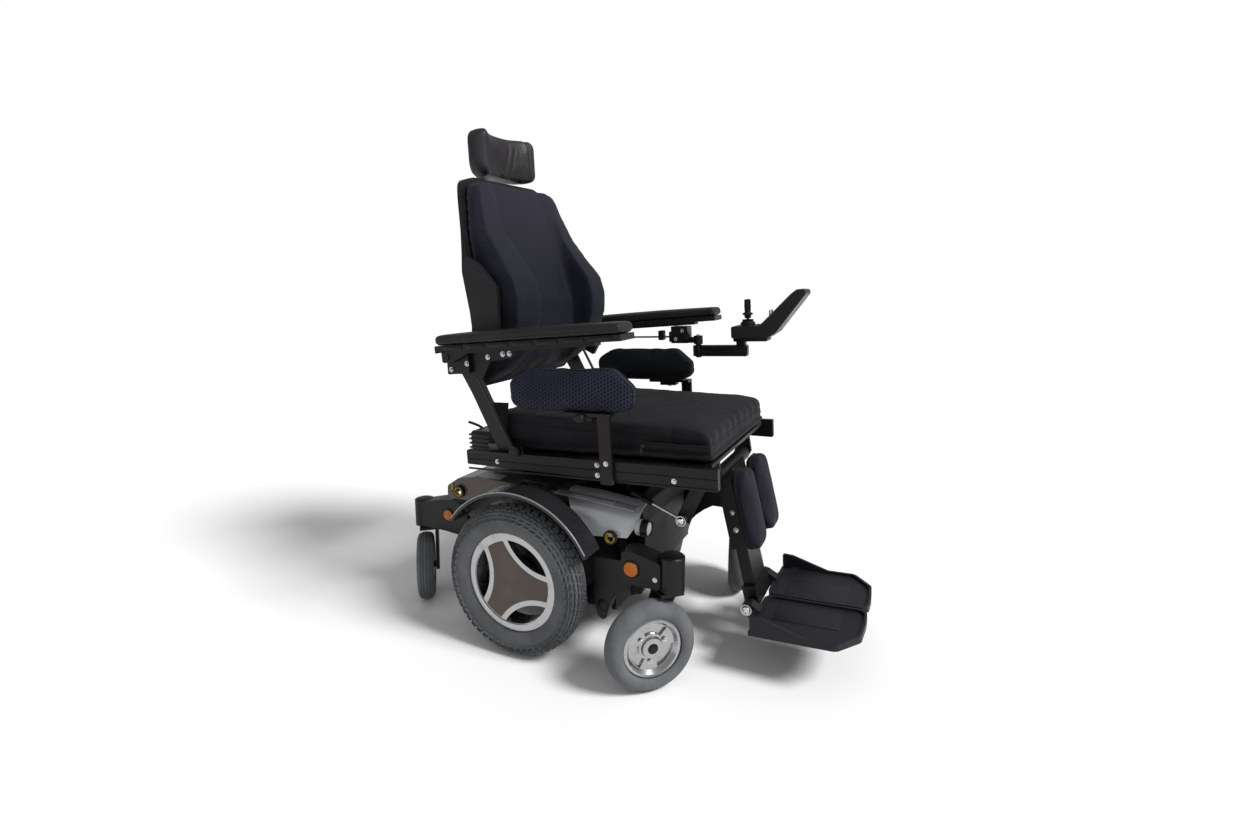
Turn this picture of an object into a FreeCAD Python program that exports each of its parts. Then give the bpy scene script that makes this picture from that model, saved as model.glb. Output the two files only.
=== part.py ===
import FreeCAD, Part
import math
import os

# Powered wheelchair with a mid-wheel-drive base and a powered seating system.
# Millimetres. +X is forward, +Y is the rider's left and +Z is up. The origin is on the
# floor, midway between the drive wheels and straight below their axle.

V = FreeCAD.Vector
Y_AXIS = V(0, 1, 0)
Z_AXIS = V(0, 0, 1)

# ---- driving dimensions ---------------------------------------------------------
GAP = 0.4                      # running gap round a pin, and between stacked pieces

DRIVE_RADIUS = 177.5           # 14 inch drive tyre
DRIVE_HALF_WIDTH = 33
DRIVE_TRACK = 300              # from the centre plane to the middle of a drive tyre
DRIVE_RIM_RADIUS = 117
SHAFT_RADIUS = 12
RIM_SPOKE_START = 57           # angle of the first opening in the rim, degrees

CASTERS = {
    # pivot x, pivot y, trail, wheel radius, half width, rim radius, swivel of each side
    "front": dict(x=369, y=263, trail=50, radius=100, half=25, rim=66, turn=(45, -104)),
    "rear": dict(x=-400, y=160, trail=40, radius=89, half=22, rim=50, turn=(130, 130)),
}
STEM_RADIUS = 11
CASTER_AXLE_RADIUS = 8
FORK_THICK = 8

FRONT_ARM_PIVOT = (204, 140)   # x and z of the front suspension pivot
REAR_ARM_PIVOT = (-240, 232)
ARM_PIN_RADIUS = 10

TUB_BACK, TUB_FRONT = -228, 200
TUB_HALF_WIDTH = 168
TUB_BOTTOM, TUB_TOP = 94, 300
WALL = 4

# x, y and z of the middle of each tie-down eye on the left side
TIE_EYES = {"front": (212, 240.4, 292), "rear": (-236, 209.4, 322)}
TIE_HOLE_RADIUS = 9
TIE_THICK = 8

COLUMN_X = 110                 # centre of the seat lift column
COLUMN_HALF = 55
COLUMN_TOP = 366
CARRIAGE_PLATE_Z = 378
CARRIAGE_PLATE_THICK = 10

SEAT_ANGLE = 3.0               # the whole seating system leans back by this much
SEAT_DATUM = V(0, 0, 400)      # the point it leans about
TILT_PIVOT = (-190, 402)       # seat coordinates, forward and up
RAIL_INNER, RAIL_OUTER = 236, 250
RAIL_TOP = 459
PAN_HALF_WIDTH = 222
CUSHION_HALF_WIDTH = 224

RECLINE_PIVOT = (-60, 451)
ARM_BRACKET_PIVOT = (-165, 660)
LINK_LOWER = (-25, 465)
# the two side links of the recline parallelogram are equal and parallel
LINK_UPPER = (LINK_LOWER[0] + ARM_BRACKET_PIVOT[0] - RECLINE_PIVOT[0],
              LINK_LOWER[1] + ARM_BRACKET_PIVOT[1] - RECLINE_PIVOT[1])
LINK_PIN_RADIUS = 8
ARM_HINGE = (-165, 690)
ARM_SLOPE = 2.6                # armrests rise towards the front
ARM_PAD_INNER, ARM_PAD_OUTER = 262, 335
ARM_LENGTH = 470

BACK_HALF_WIDTH = 236
BACK_THICK = 12

JOYSTICK_Y = 290
STICK = (388, 700)             # pivot of the joystick lever, seat coordinates
SWING_HINGE = (242, 290)       # forward and sideways

THIGH_INNER, THIGH_OUTER = 216, 256

KNEE = (412, 418)              # x and z of the leg support's hinge
KNEE_BARREL_HALF = 120
KNEE_SHAFT_HALF = 132
LEG_ANGLE = 14.1               # the leg support leans forward by this much
LEG_LENGTH = 312               # hinge to footplate shaft
FOOT_TOE_UP = 3.0
FOOT_HALF_WIDTH = 174
FOOT_SHAFT_RADIUS = 8


# ---- small shape helpers --------------------------------------------------------
def box(x0, x1, y0, y1, z0, z1):
    return Part.makeBox(x1 - x0, y1 - y0, z1 - z0, V(x0, y0, z0))


def rod(start, end, radius):
    """A round bar between two points."""
    run = end - start
    return Part.makeCylinder(radius, run.Length, start, run)


def pin_y(x, z, y0, y1, radius):
    """A round bar along Y at x, z."""
    return Part.makeCylinder(radius, y1 - y0, V(x, y0, z), Y_AXIS)


def pin_z(x, y, z0, z1, radius):
    return Part.makeCylinder(radius, z1 - z0, V(x, y, z0), Z_AXIS)


def join(*shapes):
    """One solid from touching or overlapping ones."""
    return shapes[0].multiFuse(list(shapes[1:])).removeSplitter()


def group(*shapes):
    """Separate solids in one node."""
    return Part.makeCompound(list(shapes))


def mirrored(shape):
    """The same piece on the other side of the centre plane."""
    return shape.mirror(V(0, 0, 0), Y_AXIS)


def both_sides(shape):
    return group(shape, mirrored(shape))


def rounded_wire(corners, radius):
    """A closed outline through the corners, each one rounded as far as it has room."""
    count = len(corners)
    edges = []
    starts, ends, middles = [], [], []
    for i in range(count):
        corner = corners[i]
        back = corners[i - 1] - corner
        ahead = corners[(i + 1) % count] - corner
        half = back.getAngle(ahead) / 2
        trim = radius / math.tan(half)
        trim = min(trim, 0.48 * back.Length, 0.48 * ahead.Length)
        reach = trim * math.tan(half)
        towards = (V(back).normalize() + V(ahead).normalize()).normalize()
        starts.append(corner + V(back).normalize() * trim)
        ends.append(corner + V(ahead).normalize() * trim)
        middles.append(corner + towards * (reach / math.sin(half) - reach))
    for i in range(count):
        if radius > 0:
            edges.append(Part.Arc(starts[i], middles[i], ends[i]).toShape())
        following = starts[(i + 1) % count]
        if (following - ends[i]).Length > 1e-6:
            edges.append(Part.LineSegment(ends[i], following).toShape())
    return Part.Wire(edges)


def side_plate(points, y0, y1, radius=0):
    """An outline of (x, z) points, as thick as y0 to y1."""
    wire = rounded_wire([V(x, y0, z) for x, z in points], radius)
    return Part.Face(wire).extrude(V(0, y1 - y0, 0))


def front_plate(points, x0, x1, radius=0):
    """An outline of (y, z) points, as thick as x0 to x1."""
    wire = rounded_wire([V(x0, y, z) for y, z in points], radius)
    return Part.Face(wire).extrude(V(x1 - x0, 0, 0))


def top_plate(points, z0, z1, radius=0):
    """An outline of (x, y) points, as thick as z0 to z1."""
    wire = rounded_wire([V(x, y, z0) for x, y in points], radius)
    return Part.Face(wire).extrude(V(0, 0, z1 - z0))


def soft_edges(shape, radius):
    return shape.makeFillet(radius, shape.Edges)


def ring_y(outer, inner, y0, y1):
    """A ring about the Y axis through the origin."""
    return pin_y(0, 0, y0, y1, outer).cut(pin_y(0, 0, y0 - 1, y1 + 1, inner))


def turned(profile):
    """A solid turned about the Y axis from a closed list of edges in the X-Y plane."""
    return Part.Face(Part.Wire(profile)).revolve(V(0, 0, 0), Y_AXIS, 360)


def line(a, b):
    return Part.LineSegment(V(*a), V(*b)).toShape()


def arc(a, b, c):
    return Part.Arc(V(*a), V(*b), V(*c)).toShape()


def seated(shape):
    """Leans a piece drawn in level seat coordinates back to its place."""
    return shape.rotated(SEAT_DATUM, Y_AXIS, -SEAT_ANGLE)


def on_arm(shape):
    """Turns a piece drawn level about the armrest hinge up to the armrest's slope."""
    hinge = V(ARM_HINGE[0], 0, ARM_HINGE[1])
    return seated(shape.rotated(hinge, Y_AXIS, -ARM_SLOPE))


def on_leg(shape):
    """Places a piece drawn about the knee hinge, with the leg straight down."""
    return shape.rotated(V(0, 0, 0), Y_AXIS, -LEG_ANGLE).translated(V(KNEE[0], 0, KNEE[1]))


# ---- wheels ---------------------------------------------------------------------
def tyre(radius, half_width, rim_radius):
    """A tyre with a rounded crown and bulging side walls."""
    shoulder = radius - 0.30 * half_width
    tread = 0.76 * half_width
    bead = 0.82 * half_width
    wall = (rim_radius + shoulder) / 2
    return turned([
        line((rim_radius, -bead, 0), (rim_radius, bead, 0)),
        arc((rim_radius, bead, 0), (wall, half_width, 0), (shoulder, tread, 0)),
        arc((shoulder, tread, 0), (radius, 0, 0), (shoulder, -tread, 0)),
        arc((shoulder, -tread, 0), (wall, -half_width, 0), (rim_radius, -bead, 0)),
    ])


def opening(distance, radius, y0, y1, number):
    """A round cutter beside the hub, at one of the rim's three openings."""
    angle = math.radians(RIM_SPOKE_START + 120 * number)
    return pin_y(distance * math.cos(angle), distance * math.sin(angle), y0, y1, radius)


def drive_rim():
    """Rim ring, web with three lens-shaped openings and a pocket for the insert."""
    barrel = ring_y(DRIVE_RIM_RADIUS - GAP, 101, -27, 22)
    web = pin_y(0, 0, 4, 20, 102)
    eye = pin_y(0, 0, -1, 30, 99)
    for number in range(3):
        web = web.cut(opening(179, 118, -1, 30, number).common(eye))
    web = web.cut(drive_insert_blank(97, 138, 13))
    hub = pin_y(0, 0, -32, 12, 30)
    bore = pin_y(0, 0, -40, 30, SHAFT_RADIUS + GAP)
    return join(barrel, web, hub).cut(bore)


def drive_insert_blank(radius, scallop, y0):
    """A three-armed plate whose sides are scooped out beside the rim's openings."""
    plate = pin_y(0, 0, y0, 21, radius)
    for number in range(3):
        plate = plate.cut(opening(187, scallop, y0 - 1, 30, number))
    return plate


def drive_insert():
    return drive_insert_blank(97 - GAP, 138 + GAP, 13 + GAP)


def caster_rim(radius, half_width):
    """A small dished rim with three shallow pockets."""
    barrel = ring_y(radius - GAP, radius - 9, -0.8 * half_width, 0.8 * half_width)
    web = pin_y(0, 0, -0.35 * half_width, 0.35 * half_width, radius - 8)
    hub = pin_y(0, 0, -0.8 * half_width, 0.8 * half_width, 0.34 * radius)
    bore = pin_y(0, 0, -half_width, half_width, CASTER_AXLE_RADIUS + GAP)
    return join(barrel, web, hub).cut(bore)


def fork(kind, leg_side):
    """One-sided fork about its own stem, with the wheel trailing along -X."""
    size = CASTERS[kind]
    top = 2 * size["radius"] + 4
    crown_top = top + FORK_THICK
    inner = size["half"] + 4
    outer = inner + FORK_THICK
    trail = size["trail"]
    axle_z = size["radius"]
    y0, y1 = sorted((leg_side * inner, leg_side * outer))
    leg = side_plate([(-30, crown_top), (22, crown_top), (22, top - 24),
                      (18 - trail, axle_z - 10), (-trail, axle_z - 18),
                      (-trail - 18, axle_z - 4), (-trail - 14, axle_z + 14)], y0, y1, 9)
    c0, c1 = sorted((-leg_side * 14, leg_side * outer))
    crown = box(-30, 22, c0, c1, top, crown_top)
    stem = pin_z(0, 0, top, top + 70, STEM_RADIUS)
    a0, a1 = sorted((-leg_side * (size["half"] - 3), leg_side * outer))
    axle = pin_y(-trail, axle_z, a0, a1, CASTER_AXLE_RADIUS)
    return join(crown, leg, stem, axle)


def placed_caster(shape, kind, side):
    """Swivels a caster piece about its stem. side is -1 on the right and 1 on the left."""
    size = CASTERS[kind]
    swivel = size["turn"][0] if side < 0 else -size["turn"][1]
    return shape.rotated(V(0, 0, 0), Z_AXIS, swivel).translated(V(size["x"], side * size["y"], 0))


# ---- base -----------------------------------------------------------------------
def chassis_frame():
    tub = box(TUB_BACK, TUB_FRONT, -TUB_HALF_WIDTH, TUB_HALF_WIDTH, TUB_BOTTOM, TUB_TOP)
    tub = tub.cut(box(TUB_BACK + WALL, TUB_FRONT - WALL, WALL - TUB_HALF_WIDTH,
                      TUB_HALF_WIDTH - WALL, TUB_BOTTOM + WALL, TUB_TOP + 1))
    column = box(COLUMN_X - COLUMN_HALF, COLUMN_X + COLUMN_HALF, -COLUMN_HALF, COLUMN_HALF,
                 TUB_BOTTOM, COLUMN_TOP)
    hollow = COLUMN_HALF - WALL
    column = column.cut(box(COLUMN_X - hollow, COLUMN_X + hollow, -hollow, hollow,
                            TUB_BOTTOM + WALL, COLUMN_TOP + 1))
    skirt = side_plate([(TUB_FRONT, 100), (240, 112), (248, 150), (248, 290), (236, 330),
                        (TUB_FRONT, 334)], -130, 130, 8)
    skirt = skirt.cut(side_plate([(TUB_FRONT - 2, 104), (236, 116), (244, 152), (244, 288),
                                  (233, 326), (TUB_FRONT - 2, 330)], -126, 126))
    stubs = []
    for side in (-1, 1):
        y0, y1 = sorted((side * (TUB_HALF_WIDTH - 1), side * 261))
        stubs.append(pin_y(FRONT_ARM_PIVOT[0], FRONT_ARM_PIVOT[1], y0, y1, ARM_PIN_RADIUS))
        boss0, boss1 = sorted((side * (TUB_HALF_WIDTH - 10), side * 236))
        stubs.append(box(150, 190, boss0, boss1, 120, 160))
        stubs.append(box(185, 224, boss0, boss1, 120, 160))
        e0, e1 = sorted((side * 118, side * 130))
        stubs.append(side_plate([(TUB_BACK + 2, 180), (TUB_BACK + 2, 290), (-256, 256),
                                 (-262, 215)], e0, e1, 6))
        r0, r1 = sorted((side * 120, side * 184))
        stubs.append(pin_y(REAR_ARM_PIVOT[0], REAR_ARM_PIVOT[1], r0, r1, ARM_PIN_RADIUS))
    return join(tub, column, skirt, *stubs)


def batteries():
    right = box(TUB_BACK + 10, 44, -162, -3, TUB_BOTTOM + WALL + 2, 288)
    return both_sides(soft_edges(right, 5))


def drive_motors():
    """Motor and gearbox on each side of the tub, with the shaft that turns the wheel."""
    motor = pin_y(0, DRIVE_RADIUS, TUB_HALF_WIDTH + GAP, 240, 48)
    gearbox = pin_y(0, DRIVE_RADIUS, 239, 262, 36)
    shaft = pin_y(0, DRIVE_RADIUS, 260, DRIVE_TRACK + 10, SHAFT_RADIUS)
    return both_sides(join(motor, gearbox, shaft))


def rear_cover():
    """Moulded cover over the batteries, open below."""
    outline = [(-278, 300), (-276, 332), (-240, 356), (-190, 366), (50, 366), (50, 302)]
    inner = [(-274, 290), (-272, 330), (-238, 352), (-189, 362), (46, 362), (46, 290)]
    shell = side_plate(outline, -205, 205, 12).cut(side_plate(inner, -201, 201, 10))
    x, _, z = TIE_EYES["rear"]
    return shell.cut(pin_y(x, z, -220, 220, TIE_HOLE_RADIUS + 3))


def side_covers():
    """Curved silver panels between the fender and the headlamp."""
    outline = [(70, 362), (112, 330), (158, 262), (236, 272), (262, 316), (266, 350), (216, 358)]
    inner = [(84, 357), (118, 330), (162, 267), (233, 276), (258, 318), (261, 346), (214, 353)]
    panel = side_plate(outline, TUB_HALF_WIDTH + 4, 236, 10)
    panel = panel.cut(side_plate(inner, TUB_HALF_WIDTH, 232, 8))
    x, _, z = TIE_EYES["front"]
    panel = panel.cut(pin_y(x, z, 200, 240, TIE_HOLE_RADIUS + 3))
    return both_sides(panel)


def tie_down_eyes():
    """Four flat steel eyes that a vehicle's tie-down hooks go through."""
    eyes = []
    for x, y, z in TIE_EYES.values():
        plate = pin_y(x, z, y - TIE_THICK / 2, y + TIE_THICK / 2, 16)
        hole = pin_y(x, z, y - TIE_THICK, y + TIE_THICK, TIE_HOLE_RADIUS)
        eye = plate.cut(hole)
        eyes.append(eye)
        eyes.append(mirrored(eye))
    return group(*eyes)


def wheel_fenders():
    """Bands that follow the top of each drive wheel, on an inner web."""
    centre_x, centre_z = 8, DRIVE_RADIUS
    band = pin_y(centre_x, centre_z, 266, 328, 214)
    band = band.cut(pin_y(centre_x, centre_z, 270, 340, 206))
    band = band.cut(pin_y(centre_x, centre_z, 260, 280, 184))
    span = [(centre_x, centre_z)]
    for degrees in (27, 60, 90, 118, 145):
        angle = math.radians(degrees)
        span.append((centre_x + 300 * math.cos(angle), centre_z + 300 * math.sin(angle)))
    band = band.common(side_plate(span, 250, 340))
    bracket = box(-40, 40, TUB_HALF_WIDTH + 40, 270, 372, 378)
    foot = box(-40, 40, TUB_HALF_WIDTH + 40, TUB_HALF_WIDTH + 46, 366, 378)
    return both_sides(join(band, bracket, foot))


def headlamps():
    """A round lamp on each side, facing forward."""
    lamp = Part.makeCylinder(18, 26, V(267, 217, 318), V(1, 0, 0))
    return both_sides(soft_edges(lamp, 3))


def front_arm():
    """Suspension arm from its pivot to the front caster's barrel, on the left side."""
    caster = CASTERS["front"]
    plate = side_plate([(183, 250), (181, 150), (190, 112), (204, 105), (213, 112), (218, 132),
                        (226, 156), (246, 180), (270, 200), (296, 216), (352, 216), (352, 276),
                        (285, 292), (262, 290), (248, 254)], 240, 262, 6)
    boss = side_plate([(262, 218), (352, 218), (352, 276), (285, 292), (262, 288)], 240, 288, 8)
    barrel = pin_z(caster["x"], caster["y"], 214, 288, 27)
    arm = join(plate, boss, barrel)
    arm = arm.cut(pin_z(caster["x"], caster["y"], 200, 284, STEM_RADIUS + GAP))
    return arm.cut(pin_y(FRONT_ARM_PIVOT[0], FRONT_ARM_PIVOT[1], 230, 270, ARM_PIN_RADIUS + GAP))


def rear_arm():
    caster = CASTERS["rear"]
    plate = side_plate([(-400, 258), (-340, 274), (-285, 284), (-246, 272), (-232, 240),
                        (-236, 206), (-258, 190), (-310, 194), (-400, 194)], 133, 183, 8)
    barrel = pin_z(caster["x"], caster["y"], 192, 262, 25)
    arm = join(plate, barrel)
    arm = arm.cut(pin_z(caster["x"], caster["y"], 180, 259, STEM_RADIUS + GAP))
    return arm.cut(pin_y(REAR_ARM_PIVOT[0], REAR_ARM_PIVOT[1], 130, 190, ARM_PIN_RADIUS + GAP))


# ---- seat lift, seat frame and cushion ------------------------------------------
def tilt_pivot_xz():
    """The tilt pivot's place once the seating system leans back."""
    point = seated(Part.Vertex(V(TILT_PIVOT[0], 0, TILT_PIVOT[1]))).Point
    return point.x, point.z


def lift_carriage():
    """Inner lift tube, top plate and the two ears that carry the seat's tilt shaft."""
    half = COLUMN_HALF - WALL - 1
    post = box(COLUMN_X - half, COLUMN_X + half, -half, half, TUB_BOTTOM + 12, CARRIAGE_PLATE_Z)
    top = CARRIAGE_PLATE_Z + CARRIAGE_PLATE_THICK
    x, z = tilt_pivot_xz()
    plate = box(x - 4, COLUMN_X + half + 10, -105, 105, CARRIAGE_PLATE_Z, top)
    pieces = [post, plate]
    for side in (-1, 1):
        y0, y1 = sorted((side * 93, side * 105))
        pieces.append(side_plate([(x - 14, CARRIAGE_PLATE_Z), (x - 14, z + 4), (x - 5, z + 13),
                                  (x + 12, z + 14), (x + 60, top - 1),
                                  (x + 60, CARRIAGE_PLATE_Z)], y0, y1, 4))
    carriage = join(*pieces)
    return carriage.cut(pin_y(x, z, -120, 120, ARM_PIN_RADIUS + GAP))


def seat_frame():
    """Side rails, pan, cross members, tilt lugs and knee brackets, in seat coordinates."""
    pieces = []
    for side in (-1, 1):
        y0, y1 = sorted((side * RAIL_INNER, side * RAIL_OUTER))
        pieces.append(side_plate([(-170, 424), (-170, RAIL_TOP), (-46, RAIL_TOP), (-42, 476),
                                  (-8, 476), (-4, RAIL_TOP), (463, RAIL_TOP), (463, 412)],
                                 y0, y1, 3))
        l0, l1 = sorted((side * 122, side * 134))
        pieces.append(side_plate([(-202, 392), (-202, 412), (-104, 412), (-104, 450), (-74, 450),
                                  (-74, 426), (-110, 391), (-180, 389)], l0, l1, 5))
        k0, k1 = sorted((side * (KNEE_BARREL_HALF + 2), side * KNEE_SHAFT_HALF))
        knee_u, knee_w = knee_seat()
        pieces.append(side_plate([(376, 452), (426, 452), (knee_u + 20, knee_w + 4),
                                  (knee_u + 8, knee_w - 18), (knee_u - 12, knee_w - 16),
                                  (knee_u - 20, knee_w)], k0, k1, 6))
        r0, r1 = sorted((side * 226.5, side * (RAIL_INNER + 1)))
        pieces.append(pin_y(RECLINE_PIVOT[0], RECLINE_PIVOT[1], r0, r1, LINK_PIN_RADIUS))
        p0, p1 = sorted((side * (RAIL_OUTER - 1), side * 261))
        pieces.append(pin_y(LINK_LOWER[0], LINK_LOWER[1], p0, p1, LINK_PIN_RADIUS))
    pieces.append(box(-104, -74, -PAN_HALF_WIDTH, PAN_HALF_WIDTH, 428, 446))
    for start in (150, 366):
        pieces.append(box(start, start + 30, -RAIL_INNER - 1, RAIL_INNER + 1, 428, 446))
    pieces.append(box(-100, 428, -PAN_HALF_WIDTH, PAN_HALF_WIDTH, 445, 456))
    pieces.append(pin_y(TILT_PIVOT[0], TILT_PIVOT[1], -134, 134, ARM_PIN_RADIUS))
    pieces.append(pin_y(*knee_seat(), -KNEE_SHAFT_HALF, KNEE_SHAFT_HALF, LINK_PIN_RADIUS))
    return seated(join(*pieces))


def knee_seat():
    """The knee hinge in seat coordinates."""
    angle = math.radians(SEAT_ANGLE)
    rise = KNEE[1] - SEAT_DATUM.z
    forward = KNEE[0] * math.cos(angle) + rise * math.sin(angle)
    up = SEAT_DATUM.z - KNEE[0] * math.sin(angle) + rise * math.cos(angle)
    return forward, up


def seat_cushion():
    outline = [(-116, 460), (-120, 556), (60, 551), (400, 538), (448, 526), (452, 462)]
    cushion = side_plate(outline, -CUSHION_HALF_WIDTH, CUSHION_HALF_WIDTH, 16)
    return seated(cushion)


def rear_electronics_box():
    """Ribbed box behind the seat that holds the drive's electronics."""
    return seated(soft_edges(box(-207, -128, -190, 190, 418, 490), 8))


# ---- back and headrest ----------------------------------------------------------
BACK_LINE = [(-168, 604), (-140, 690), (-136, 770), (-160, 930), (-189, 1081), (-193, 1118)]
BACK_FRONT = [(212, 604), (BACK_HALF_WIDTH, 700), (BACK_HALF_WIDTH, 885), (208, 985),
              (192, 1060), (180, 1104), (130, 1118)]


def back_outline(inset, low):
    """The back's shape seen from the front, this much smaller all round."""
    half = [(y - inset, w - inset if w > 1000 else max(w, low)) for y, w in BACK_FRONT]
    return half + [(-y, w) for y, w in reversed(half)]


def back_shell():
    """Curved shell with side wings, hinge plates and the headrest's clamp."""
    forward = [(u + BACK_THICK, w) for u, w in reversed(BACK_LINE)]
    sheet = side_plate(BACK_LINE + forward, -260, 260)
    sheet = sheet.common(front_plate(back_outline(0, 604), -300, 0, 26))
    pieces = [sheet]
    for side in (-1, 1):
        w0, w1 = sorted((side * 225, side * BACK_HALF_WIDTH))
        pieces.append(side_plate([(-150, 930), (-108, 905), (-56, 845), (-60, 745), (-132, 700)],
                                 w0, w1, 14))
        y0, y1 = sorted((side * 226.5, side * 234.5))
        hinge = side_plate([(-44, 438), (-76, 438), (-152, 596), (-184, 652), (-176, 678),
                            (-130, 720), (-126, 640), (-42, 462)], y0, y1, 10)
        hinge = hinge.cut(pin_y(*RECLINE_PIVOT, -300, 300, LINK_PIN_RADIUS + GAP))
        pieces.append(hinge)
        a0, a1 = sorted((side * 233, side * 286))
        pieces.append(pin_y(*ARM_BRACKET_PIVOT, a0, a1, LINK_PIN_RADIUS))
    clamp = box(-270, -176, -28, 28, 1010, 1060)
    clamp = clamp.cut(box(-264, -250, -17, 17, 1000, 1070))
    pieces.append(clamp)
    return seated(join(*pieces))


def back_cushion():
    """Centre pad and two side bolsters, drawn as one plain solid."""
    clear = 2.0
    rear = [(u + BACK_THICK + clear, w) for u, w in BACK_LINE]
    bolster = [(-136, 1108), (-112, 1037), (-93, 982), (-47, 913), (-17, 869), (-4, 820),
               (-8, 768), (-36, 690), (-92, 640), (-140, 612)]
    centre = [(-142, 1112), (-128, 1037), (-112, 960), (-90, 880), (-72, 800), (-78, 720),
              (-100, 650), (-140, 612)]
    sides = side_plate(rear + bolster, -222, 222)
    scoop = side_plate([(200, 1200), (200, 560)] + list(reversed(centre)) + [(-142, 1200)],
                       -118, 118)
    outline = front_plate(back_outline(14, 612), -300, 100, 24)
    return seated(sides.common(outline).cut(scoop))


HEADREST_W = 1185
HEADREST_HALF_HEIGHT = 62
HEADREST_INNER_RADIUS = 162
HEADREST_CENTRE = -18
HEADREST_THICK = 55
HEADREST_HALF_ANGLE = 40


def headrest_pad():
    """A pad that curves round the back of the head."""
    low = HEADREST_W - HEADREST_HALF_HEIGHT
    high = HEADREST_W + HEADREST_HALF_HEIGHT
    middle = math.radians(HEADREST_HALF_ANGLE)

    def around(radius, angle):
        return V(HEADREST_CENTRE - radius * math.cos(angle), radius * math.sin(angle), low)

    inner = HEADREST_INNER_RADIUS
    outer = inner + HEADREST_THICK
    wire = Part.Wire([
        Part.Arc(around(inner, -middle), around(inner, 0), around(inner, middle)).toShape(),
        Part.LineSegment(around(inner, middle), around(outer, middle)).toShape(),
        Part.Arc(around(outer, middle), around(outer, 0), around(outer, -middle)).toShape(),
        Part.LineSegment(around(outer, -middle), around(inner, -middle)).toShape(),
    ])
    pad = Part.Face(wire).extrude(V(0, 0, high - low))
    return seated(soft_edges(pad, 18))


def headrest_mount():
    """Flat bar that slides in the back's clamp, with the joint that holds the pad."""
    bar = box(-262, -252, -15, 15, 940, 1215)
    rear_of_pad = HEADREST_CENTRE - HEADREST_INNER_RADIUS - HEADREST_THICK
    neck = rod(V(-254, 0, HEADREST_W), V(rear_of_pad - GAP, 0, HEADREST_W), 14)
    return seated(join(bar, neck))


# ---- armrests -------------------------------------------------------------------
def arm_hinge_bracket():
    """Bracket that stays level as the back reclines, drawn on the left side."""
    web = side_plate([(-176, 648), (-176, 697), (-114, 699), (2, 703), (2, 687), (-60, 678),
                      (-88, 632), (-118, 648)], 263, 275, 5)
    block = side_plate([(-176, 648), (-176, 700), (-171, 704), (-150, 704), (-114, 699),
                        (-112, 652)], 263, 286, 4)
    flip_pin = pin_y(*ARM_HINGE, 285, 301, LINK_PIN_RADIUS)
    link_pin = pin_y(*LINK_UPPER, 251, 264, LINK_PIN_RADIUS)
    bracket = join(web, block, flip_pin, link_pin)
    return bracket.cut(pin_y(*ARM_BRACKET_PIVOT, 230, 300, LINK_PIN_RADIUS + GAP))


def arm_hinge_brackets():
    return both_sides(seated(arm_hinge_bracket()))


def arm_link_rods():
    """Straight links from the seat rails to the armrest brackets."""
    low = V(LINK_LOWER[0], 256, LINK_LOWER[1])
    high = V(LINK_UPPER[0], 256, LINK_UPPER[1])
    bar = rod(low, high, 4)
    link = bar
    for end in (LINK_LOWER, LINK_UPPER):
        link = link.fuse(pin_y(*end, 252, 260, 13))
    for end in (LINK_LOWER, LINK_UPPER):
        link = link.cut(pin_y(*end, 240, 270, LINK_PIN_RADIUS + GAP))
    return both_sides(seated(link))


def arm_frame(with_control_clamp):
    """Tray and beam under an armrest pad with its hinge lug, on the left side."""
    u, w = ARM_HINGE
    tray = box(u - 2, u + ARM_LENGTH - 3, ARM_PAD_INNER + 4, ARM_PAD_OUTER - 4, w + 16, w + 29)
    beam = box(u + 40, u + 400, 288, 316, w + 8, w + 17)
    lug = side_plate([(u - 14, w - 13), (u - 14, w + 17), (u + 60, w + 17), (u + 60, w + 6),
                      (u + 14, w - 13)], 289, 299, 6)
    frame = join(tray, beam, lug)
    frame = frame.cut(pin_y(u, w, 280, 310, LINK_PIN_RADIUS + GAP))
    frame = on_arm(frame)
    if with_control_clamp:
        hinge_u, hinge_y = SWING_HINGE
        clamp = box(166, 216, 272, 308, 664, 712)
        bridge = box(200, hinge_u, 280, 300, 664, 680)
        post = pin_z(hinge_u, hinge_y, 660, 684, 13)
        pin = pin_z(hinge_u, hinge_y, 622, 662, LINK_PIN_RADIUS)
        frame = join(frame, seated(join(clamp, bridge, post, pin)))
    return frame


def arm_pad():
    u, w = ARM_HINGE
    pad = box(u - 5, u + ARM_LENGTH, ARM_PAD_INNER, ARM_PAD_OUTER, w + 29 + GAP, w + 55)
    return on_arm(soft_edges(pad, 11))


# ---- joystick -------------------------------------------------------------------
def joystick_swing_arm():
    """Flat bar that swings outwards on the armrest's clamp and carries the control."""
    u, y = SWING_HINGE
    bar = box(u + 4, 384, JOYSTICK_Y - 14, JOYSTICK_Y + 14, 626, 656)
    bar = join(bar, pin_z(u, y, 626, 656, 16))
    bar = bar.cut(pin_z(u, y, 600, 680, LINK_PIN_RADIUS + GAP))
    post = box(356, 380, JOYSTICK_Y - 10, JOYSTICK_Y + 10, 655, 677)
    clip = box(262, 274, JOYSTICK_Y - 26, JOYSTICK_Y - 13, 632, 648)
    return seated(join(bar, post, clip))


def joystick_housing():
    """Control box with a raised display wing in front of the lever."""
    outline = [(350, 678), (350, 711), (424, 711), (440, 722), (518, 797), (530, 805),
               (550, 803), (552, 792), (472, 692), (450, 678)]
    body = side_plate(outline, JOYSTICK_Y - 38, JOYSTICK_Y + 38, 6)
    pocket = pin_z(STICK[0], JOYSTICK_Y, 688, 720, 17)
    body = body.cut(pocket)
    for u, y in TOGGLES.values():
        body = body.cut(pin_z(u, y, 716, 790, 6.5))
    return seated(body)


# forward and sideways place of each toggle switch
TOGGLES = {"speed_toggle": (452, 276), "mode_toggle": (452, 304)}
TOGGLE_PIVOT_W = 726


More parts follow.
